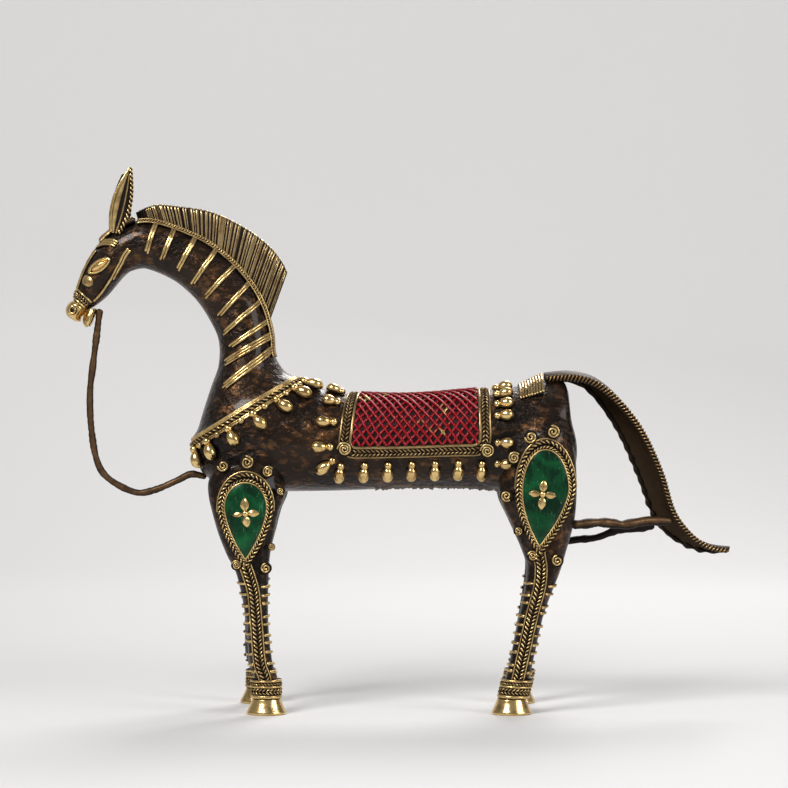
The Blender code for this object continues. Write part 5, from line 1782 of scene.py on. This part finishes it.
@dataclass
class Tail:
    """The arched tail: a thin band between a rope and a ragged cord, held by two braces."""

    body: Limb
    leg: Limb
    width: float = 0.0170
    wall: float = 0.0014
    rope_radius: float = 0.0019
    rope_pitch: float = 0.0034
    tilt: float = math.radians(38)
    brace_height: float = 0.0862
    line: tuple = (
        (-0.0062, 0.0038), (0.0060, 0.0050), (0.0182, 0.0025), (0.0304, -0.0068), (0.0417, -0.0215),
        (0.0508, -0.0416), (0.0560, -0.0591), (0.0625, -0.0689), (0.0700, -0.0750), (0.0802, -0.0776),
    )

    def make(self) -> None:
        """Build and dress the tail and its braces.

        The band tilts to the near side along its middle, sags between its edges and gets
        narrower to the tip.
        """
        rump = self.body.core(0.84, 0.0)
        share = np.linspace(0, 1, 160)
        track = smooth_line([(rump[0] + dx, rump[2] + dz) for dx, dz in self.line], len(share))
        ahead = unit(np.gradient(track, axis=0))
        out = on_centre(ahead[:, ::-1] * (-1, 1))
        out = np.where(out[:, 2:] < 0, -out, out)
        tilt = self.tilt * np.sin(math.pi * share**1.6)
        near = np.array([0.0, -1.0, 0.0]) * np.cos(tilt)[:, None] + out * np.sin(tilt)[:, None]
        lift = np.cross(near, on_centre(ahead))
        lift = np.where((lift * out).sum(-1, keepdims=True) < 0, -lift, lift)
        half = self.width / 2 * (0.80 + 0.55 * np.sin(math.pi * share**0.8) - 0.42 * share)
        thick = self.rope_radius * (1.0 - 0.35 * share)
        sag = half * 0.30
        centre = on_centre(track) - out * (thick + (half - thick) * np.sin(tilt))[:, None]
        across = np.linspace(-1, 1, 21)
        flat = (half - thick * 0.8)[:, None] * across
        height = self.wall / 2 - sag[:, None] * across**2
        top = centre[:, None] + near[:, None] * flat[..., None]
        top = top + lift[:, None] * (height + self.wall / 2)[..., None]
        low = top - lift[:, None] * self.wall
        reach, rise = near * (half - thick * 0.85)[:, None], lift * (0.1 * thick - sag)[:, None]
        near_edge, far_edge = (Route(centre + reach * sign + rise, near * sign) for sign in (1, -1))
        band = joined([
            shell(low, top, 0.45),
            rope(near_edge, self.rope_radius, self.rope_pitch, Hand.RIGHT, end_size=0.65),
            cord(far_edge, self.rope_radius * 0.72, seed=45, uneven=0.34, end_size=0.7),
        ])
        show("tail_band", band, BAND, "copper", "tail")
        self.braces(track)

    def braces(self, track: Array) -> None:
        """The braces: knobbly rods from the thighs to the tail."""
        top = self.brace_height
        end = track[np.argmin(np.abs(track[:, 1] - top))]
        for side, sign, shift, height, radius, reach in (
            (Side.LEFT, -1, 0.0, top, 0.0022, 0.0068),
            (Side.RIGHT, 1, HIND_STAGGER, 0.0757, 0.0017, 0.0146),
        ):
            thigh = self.leg.core(self.leg.share_at(2, height, math.pi), math.pi)
            slant = shift * (1 - height / BELLY_HEIGHT)
            start = np.array([thigh[0] + slant - 0.0010, -sign * thigh[1], height])
            finish = np.array([end[0] - reach, sign * 0.0032, height + 0.0010 + (top - height) * 0.78])
            share = np.linspace(0, 1, 60)[:, None]
            ripple = 0.0020 * np.minimum(share, 1 - share) * np.sin(share * 11.0 + sign)
            path = start + (finish - start) * share + np.array([0, 0, 1]) * ripple
            line = flat_route(path, np.array([0.0, sign * 1.0, 0.35]))
            knobbly = rod(line, radius, 40 + sign)
            show(f"tail_brace_{side.value}_cast", knobbly, COPPER, "copper", f"tail_brace_{side.value}")


@dataclass
class Rein:
    """The cast rein: from behind the chin in a long bow to the chest."""

    body: Limb
    jaw: Limb
    radius: float = 0.0017
    route: tuple = (
        (0.0, 0.0), (-0.024, 0.129), (-0.067, 0.348), (-0.092, 0.502), (-0.081, 0.703), (-0.025, 0.906),
        (0.089, 1.011), (0.331, 1.089), (0.513, 1.076), (0.725, 1.020), (0.859, 0.982), (1.0, 1.0),
    )

    def make(self) -> None:
        """Build and dress the rein."""
        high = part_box("rein")[1]
        foot = self.body.core(0.185, math.pi)
        finish = np.array([foot[0] - self.radius + 0.0012, foot[2]])
        top = self.jaw.core(0.34, math.pi)
        start = np.array([top[0] + self.radius, high[2] - 0.0004])
        track = smooth_line(start + (finish - start) * np.array(self.route), 200)
        line = flat_route(on_centre(track), np.array([0.0, -1.0, 0.0]))
        wire = rod(line, self.radius * 0.92, 50, nub=0.12)
        show("rein_cast", wire, COPPER, "copper", "rein")


@dataclass
class Leg:
    """A leg with its hoof, the ringed cuff and the roped greave with its ladder of rungs."""

    name: str
    limb: Limb
    body: Limb
    foot_x: float
    stride: float
    tip: tuple[float, float]
    rungs: int = 10
    hoof_length: float = 0.0182
    hoof_width: float = 0.0162
    cuff_height: float = 0.0088
    ladder_top: float = 0.0625
    bend_height: float = 0.054
    ropes_half: float = 0.0026
    shin_half: float = 0.0052

    def make(self) -> None:
        """Build and dress the pieces on both sides."""
        limb = self.limb.skin(180, 72, 0.5, Join(self.body, 0))
        for part, ending, shape, finish, slot in (
            ("leg", "skin", limb, SKIN, "bronze"),
            ("hoof", "cast", self.hoof(), SOLID_GOLD, "gold"),
            ("cuff", "cords", self.cuff(), GOLD, "gold"),
            ("greave", "cords", self.greave(), GOLD, "gold"),
        ):
            node = f"{self.name}_{part}_*"
            pair(f"{node}_{ending}", shape, finish, slot, node, self.stride)

    def hoof(self) -> Shape:
        """A flared hoof: its width falls from a rounded rim to the fetlock."""
        height = np.array([0.0, 0.0, 0.05, 0.12, 0.2, 0.32, 0.45, 0.6, 0.78, 1.0, 1.06])
        width = np.array([0.90, 0.94, 0.985, 1.0, 0.985, 0.935, 0.885, 0.835, 0.775, 0.72, 0.60])
        fine = np.linspace(0, 10, 44)
        height, width = (np.interp(fine, np.arange(11), values)[:, None] for values in (height, width))
        turn = ring_angles(64)[None]
        dent = 1 + 0.012 * noise_line(turn * 0.01 + height * 0.004, 0.02, 60) * (height > 0.01)
        loops = np.stack([
            self.foot_x + self.hoof_length / 2 * width * dent * np.cos(turn),
            -TRACK / 2 + self.hoof_width / 2 * width * dent * np.sin(turn),
            HOOF_HEIGHT * height + 0 * turn,
        ], -1)
        return skin(loops, np.clip(0.25 + height * 6, 0, 1) * np.clip(3.4 - 3 * height, 0, 1))

    def cuff(self) -> Shape:
        """The cuff: a sleeve with three cords and three ropes round it."""
        turn = ring_angles(60)
        low = HOOF_HEIGHT + SEAT_GAP
        rings = []
        for share, wall in ((-0.02, 0.0), (-0.02, 0.0010), (1.0, 0.0010), (1.02, 0.0)):
            z = low + self.cuff_height * share
            ring = self.limb.core(self.limb.share_at(2, z, turn), turn, wall)
            ring[:, 2] = z
            rings.append(ring)
        parts = [skin(np.stack(rings), 0.0)]
        for number, (share, radius, twisted) in enumerate((
            (0.10, 0.00085, None),
            (0.29, 0.00075, Hand.LEFT),
            (0.46, 0.00075, Hand.RIGHT),
            (0.62, 0.00055, None),
            (0.76, 0.00060, Hand.LEFT),
            (0.92, 0.00060, None),
        )):
            z = low + self.cuff_height * share
            t = self.limb.share_at(2, z, turn)
            route = self.limb.route(t, turn, 0.0021 - radius, closed=True)
            if twisted is None:
                parts.append(cord(route, radius, seed=70 + number))
            else:
                parts.append(rope(route, radius, radius * 4.6, twisted))
        return joined(parts)

    def middle(self, low: float) -> Route:
        """The greave's middle line: from the medallion's tip, which it leaves in a slight bend."""
        top = self.limb.station(self.limb.share_at(2, self.tip[1], math.pi / 2))
        turned = math.acos(np.clip((2 * self.tip[0] - top[0] - top[2]) / (top[0] - top[2]), -1, 1))
        z = np.linspace(self.tip[1], low, 70)
        share = np.clip((z - self.bend_height) / (self.tip[1] - self.bend_height), 0, 1)
        angle = math.pi / 2 + (turned - math.pi / 2) * share**2 * (3 - 2 * share)
        return self.limb.route(self.limb.share_at(2, z, angle), angle, 0.0008)

    def greave(self) -> Shape:
        """The greave: two opposite ropes, a thin cord on each side of them, and the rungs."""
        low, high = HOOF_HEIGHT + self.cuff_height - 0.0004, self.ladder_top
        middle = self.middle(low)
        parts = [
            rope(middle.moved(-0.00110), 0.00088, 0.0036, Hand.LEFT),
            rope(middle.moved(0.00120), 0.00108, 0.0040, Hand.RIGHT),
            cord(middle.moved(-0.00245, -0.0004), 0.00036, seed=80),
            cord(middle.moved(0.00275, -0.0004), 0.00036, seed=81),
        ]
        draw = np.random.default_rng(len(self.name))
        half = math.degrees(self.ropes_half / self.shin_half)
        for first, last in ((90 - half, -8), (90 + half, 188)):
            for number in range(self.rungs):
                share = (number + draw.uniform(0.25, 0.75)) / self.rungs
                height = low + 0.0015 + (high - low - 0.0030) * share
                angle = np.radians(np.linspace(first, last, 20))
                slant = draw.uniform(-0.0006, 0.0006) * np.linspace(0, 1, 20)
                t = self.limb.share_at(2, height + slant, angle)
                parts.append(cord(
                    self.limb.route(t, angle, 0.0004),
                    draw.uniform(0.00074, 0.00092),
                    seed=90 + number,
                    uneven=0.16,
                    end_size=0.7,
                ))
        return joined(parts)


@dataclass
class Medallion:
    """A cell on a leg: plate, roped frame, green panel, four-petal flower and coils."""

    name: str
    size: tuple[float, float, float]
    centre: tuple[float, float]
    lean: float
    flower: tuple[float, float]
    coils: tuple
    stride: float
    petals: tuple
    far_reach: float = 0.72
    coil_size: float = 1.12
    up: Array = field(init=False)
    fore: Array = field(init=False)
    out: Array = field(init=False)
    foot: Array = field(init=False)

    def __post_init__(self) -> None:
        """Work out the directions of the flat seat and its middle."""
        x, z = self.centre
        slope = (SEAT_AT_TOP - SEAT_AT_FOOT) / (SEAT_TOP_HEIGHT - SEAT_FOOT_HEIGHT)
        self.up = np.array([0.0, -slope, 1.0]) / math.hypot(slope, 1.0)
        self.fore = np.array([1.0, 0.0, 0.0])
        self.out = np.cross(self.fore, self.up)
        self.foot = np.array([x, -float(seat_distance(z)), z])

    def place(self, across: Array, along: Array, height: Array | float) -> Array:
        """Points of the seat by distances across, along and out."""
        across, along, height = np.broadcast_arrays(across, along, height)
        return (
            self.foot
            + self.fore * across[..., None]
            + self.up * along[..., None]
            + self.out * height[..., None]
        )

    def tear(self, turn: Array | float, grow: float) -> tuple[Array, Array]:
        """The drop outline grown by a distance: an ellipse above, drawn to a point below."""
        width, above, below = self.size
        half = width / 2 + grow
        turn = np.asarray(turn, float)
        s, side = np.cos(turn), np.sign(np.sin(turn))
        depth = np.maximum(-s, 0.0)
        u = np.where(s >= 0, half * np.sin(turn), side * half * (1 - depth**1.7) + self.lean * depth)
        v = np.where(s >= 0, (above + grow * 1.5) * s, -(below + grow * 1.35) * depth)
        return u, v

    def outline(self, grow: float, height: float) -> Route:
        """The grown outline as a closed route."""
        u, v = self.tear(ring_angles(240), grow)
        return flat_route(self.place(u, v, height), self.out, closed=True).even(0.0006)

    def make(self) -> None:
        """Build and dress the pieces on both sides."""
        for side, reach in ((Side.LEFT, 1.0), (Side.RIGHT, self.far_reach)):
            node = f"medallion_{self.name}_{side.value}"
            show(f"{node}_frame", self.cell(reach).on_side(side, self.stride), GOLD, "gold", node)
        node = f"enamel_{self.name}_*"
        pair(f"{node}_panel", self.panel(), GREEN, "green_enamel", node, self.stride)
        pair(f"flower_{self.name}_*", self.bloom(), SOLID_GOLD, "gold", stride=self.stride)

    def cell(self, reach: float) -> Shape:
        """The plate, the ropes of the frame and the coils about it, at a share of their distance."""
        turn = ring_angles(120)
        loops = []
        for grow, height in ((0.0033, -0.0002), (0.0033, 0.0008), (0.0028, 0.0011), (0.0, 0.0010)):
            u, v = self.tear(turn, grow)
            loops.append(self.place(u, v, height))
        crown = self.outline(0.0036, 0.0007)
        points, normals = (np.roll(rows, len(rows) // 2, axis=0) for rows in (crown.points, crown.normals))
        top = Route(points, normals).part(0.27, 0.73)
        parts = [
            skin(np.stack(loops), 0.0),
            cord(self.outline(0.00025, 0.0019), 0.00036, seed=41),
            rope(self.outline(0.0010, 0.0017), 0.00072, 0.0032, Hand.RIGHT),
            rope(self.outline(0.0026, 0.0015), 0.00094, 0.0044, Hand.LEFT),
            cord(top, 0.00040, seed=42),
        ]
        for number, (across, along, radius) in enumerate(self.coils):
            hand = Hand.RIGHT if number % 2 else Hand.LEFT
            place = self.place(across * reach, along, 0.0008)
            turns = 1.8 + 0.2 * (number % 3)
            parts.append(coil(place, self.out, radius * self.coil_size, hand, turns, number * 1.3))
        return joined(parts)

    def panel(self) -> Shape:
        """The enamel: the outline drawn in towards the flower, its height a low dome with a bevel."""
        turn = ring_angles(120)
        u, v = self.tear(turn, 0.0)
        q = np.array([1.0, 1.0, 0.985, 0.955, 0.92, 0.86, 0.75, 0.6, 0.45, 0.3, 0.15, 0.05])[:, None]
        height = np.array([
            0.0009, 0.0016, 0.00185, 0.00188, 0.0021, 0.00222,
            0.0023, 0.00236, 0.0024, 0.00243, 0.00245, 0.00246,
        ])
        across = self.flower[0] + (u - self.flower[0]) * q
        along = self.flower[1] + (v - self.flower[1]) * q
        relief = np.interp(q, (0.0, 0.94, 0.97, 1.0), (0.2, 0.3, 1.0, 0.4))
        return skin(self.place(across, along, height[:, None]), relief)

    def bloom(self) -> Shape:
        """The flower: a ball and four leaves, each widest past its middle, with a raised rib."""
        share = np.linspace(0, 1, 18)[:, None]
        ring = ring_angles(20)[None]
        low = 0.0023
        parts = [bead(self.place(self.flower[0], self.flower[1], low + 0.0006), self.out, 0.0016, 0.9)]
        for degrees, length, width in self.petals:
            turn = math.radians(degrees)
            far = 0.0008 + (length - 0.0008) * share
            wide = width / 2 * (0.12 * (1 - share) + 0.95 * np.sin(math.pi * share**0.9) ** 1.3)
            side = wide * np.cos(ring)
            ridge = 1 - np.abs(np.cos(ring)) ** 0.8
            height = np.where(np.sin(ring) > 0, 0.00035 + 0.0008 * ridge * (1 - 0.5 * share), -0.0003)
            across = self.flower[0] + far * math.sin(turn) + side * math.cos(turn)
            along = self.flower[1] + far * math.cos(turn) - side * math.sin(turn)
            parts.append(skin(self.place(across, along, low + height), 0.45 + 0.55 * ridge))
        return joined(parts)


@dataclass
class Studio:
    """The paper sweep, the lamps and the camera."""

    chest_x: float
    camera_place: tuple[float, float, float] = (0.0939, -1.2, 0.146)
    lens: float = 117.9

    def make(self) -> None:
        """Set the stage."""
        self.sweep()
        self.lamp("key_light", (-0.55, -0.75, 0.95), 0.45, 13.0)
        self.lamp("fill_light", (0.85, -0.60, 0.55), 0.50, 5.0)
        self.lamp("rear_light", (0.25, 0.80, 0.90), 0.50, 8.0)
        world = bpy.data.worlds.new("studio")
        world.use_nodes = True
        world.node_tree.nodes["Background"].inputs["Color"].default_value = (0.80, 0.80, 0.82, 1.0)
        world.node_tree.nodes["Background"].inputs["Strength"].default_value = 0.32
        bpy.context.scene.world = world
        view = bpy.data.cameras.new("camera")
        view.lens = self.lens
        view.sensor_width = 36.0
        camera = linked("camera", view)
        camera.location = self.camera_place
        camera.location.x += self.chest_x
        camera.rotation_euler = (math.pi / 2, 0.0, 0.0)
        bpy.context.scene.camera = camera
        bpy.context.scene.view_settings.view_transform = "Standard"

    def sweep(self) -> None:
        """A floor that bends up into a backdrop: a flat stretch, a quarter circle and a wall."""
        bend = np.linspace(0, math.pi / 2, 24)
        y = np.concatenate([[-2.2], 0.9 + np.sin(bend), [1.9]])
        z = np.concatenate([[0.0], 1 - np.cos(bend), [2.6]])
        x = np.array([-2.6, 2.6])
        top = np.stack(np.broadcast_arrays(x[None], y[:, None], z[:, None]), -1)
        shape = shell(top + np.array([0.0, 0.004, -0.004]), top)
        mesh = shape.mesh("paper_sweep")
        mesh.materials.append(PaleGround().material())
        linked("paper_sweep", mesh)

    def lamp(self, name: str, place: tuple[float, float, float], size: float, watts: float) -> None:
        """A square soft lamp that looks at the horse."""
        light = bpy.data.lights.new(name, "AREA")
        light.size = size
        light.energy = watts
        lamp = linked(name, light)
        lamp.location = place
        away = np.array(place) - np.array([0.0, 0.0, 0.12])
        lamp.rotation_euler = (
            math.atan2(math.hypot(away[0], away[1]), away[2]),
            0.0,
            math.atan2(away[0], -away[1]),
        )


def main() -> None:
    """Build the horse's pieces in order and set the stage."""
    logging.basicConfig(level=logging.INFO, format="%(name)s %(message)s")
    chest_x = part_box("body_shell")[0].x
    plan = Plan(chest_x)
    body = plan.body()
    neck = plan.neck(body)
    head = plan.head(neck)
    jaw = plan.jaw(head)
    front_leg, hind_leg = plan.front_leg(), plan.hind_leg()
    front_x, hind_x = chest_x + FRONT_SETBACK, chest_x + HIND_SETBACK
    parts = (
        Barrel(body, (front_leg, hind_leg), chest_x),
        Neck(neck),
        Head(head, plan.muzzle(head), jaw),
        Collar(body),
        Saddle(body, chest_x),
        Crupper(body, chest_x),
        Tail(body, hind_leg),
        Rein(body, jaw),
        Leg("front", front_leg, body, front_x, FRONT_STAGGER, (front_x - 0.0093, 0.0680)),
        Leg("hind", hind_leg, body, hind_x, HIND_STAGGER, (hind_x + 0.0123, 0.0740)),
        Medallion(
            name="front",
            size=(0.0187, 0.0107, 0.0236),
            centre=(front_x - 0.0093, 0.0946),
            lean=0.0,
            flower=(0.0, -0.0030),
            coils=(
                (-0.0103, 0.0187, 0.0027), (0.0006, 0.0202, 0.0032), (0.0102, 0.0160, 0.0027),
                (0.0159, 0.0073, 0.0018), (0.0117, -0.0182, 0.0017), (-0.0041, -0.0264, 0.0023),
                (0.0093, -0.0278, 0.0025),
            ),
            stride=FRONT_STAGGER,
            petals=(
                (-4, 0.0077, 0.0039), (88, 0.0070, 0.0032), (172, 0.0068, 0.0036), (-98, 0.0064, 0.0022),
            ),
        ),
        Medallion(
            name="hind",
            size=(0.0206, 0.0179, 0.0254),
            centre=(hind_x + 0.0153, 0.1024),
            lean=-0.0030,
            flower=(-0.0015, -0.0021),
            coils=(
                (-0.0068, 0.0240, 0.0030), (0.0034, 0.0263, 0.0032), (-0.0144, 0.0145, 0.0029),
                (-0.0180, -0.0028, 0.0027), (-0.0126, -0.0187, 0.0020), (-0.0060, -0.0301, 0.0025),
                (0.0052, -0.0322, 0.0027),
            ),
            stride=HIND_STAGGER,
            petals=(
                (6, 0.0070, 0.0036), (96, 0.0068, 0.0032), (186, 0.0076, 0.0036), (-84, 0.0070, 0.0030),
            ),
        ),
        Studio(chest_x),
    )
    for part in parts:
        part.make()
        log.info("made %s", type(part).__name__)


if __name__ == "__main__":
    main()
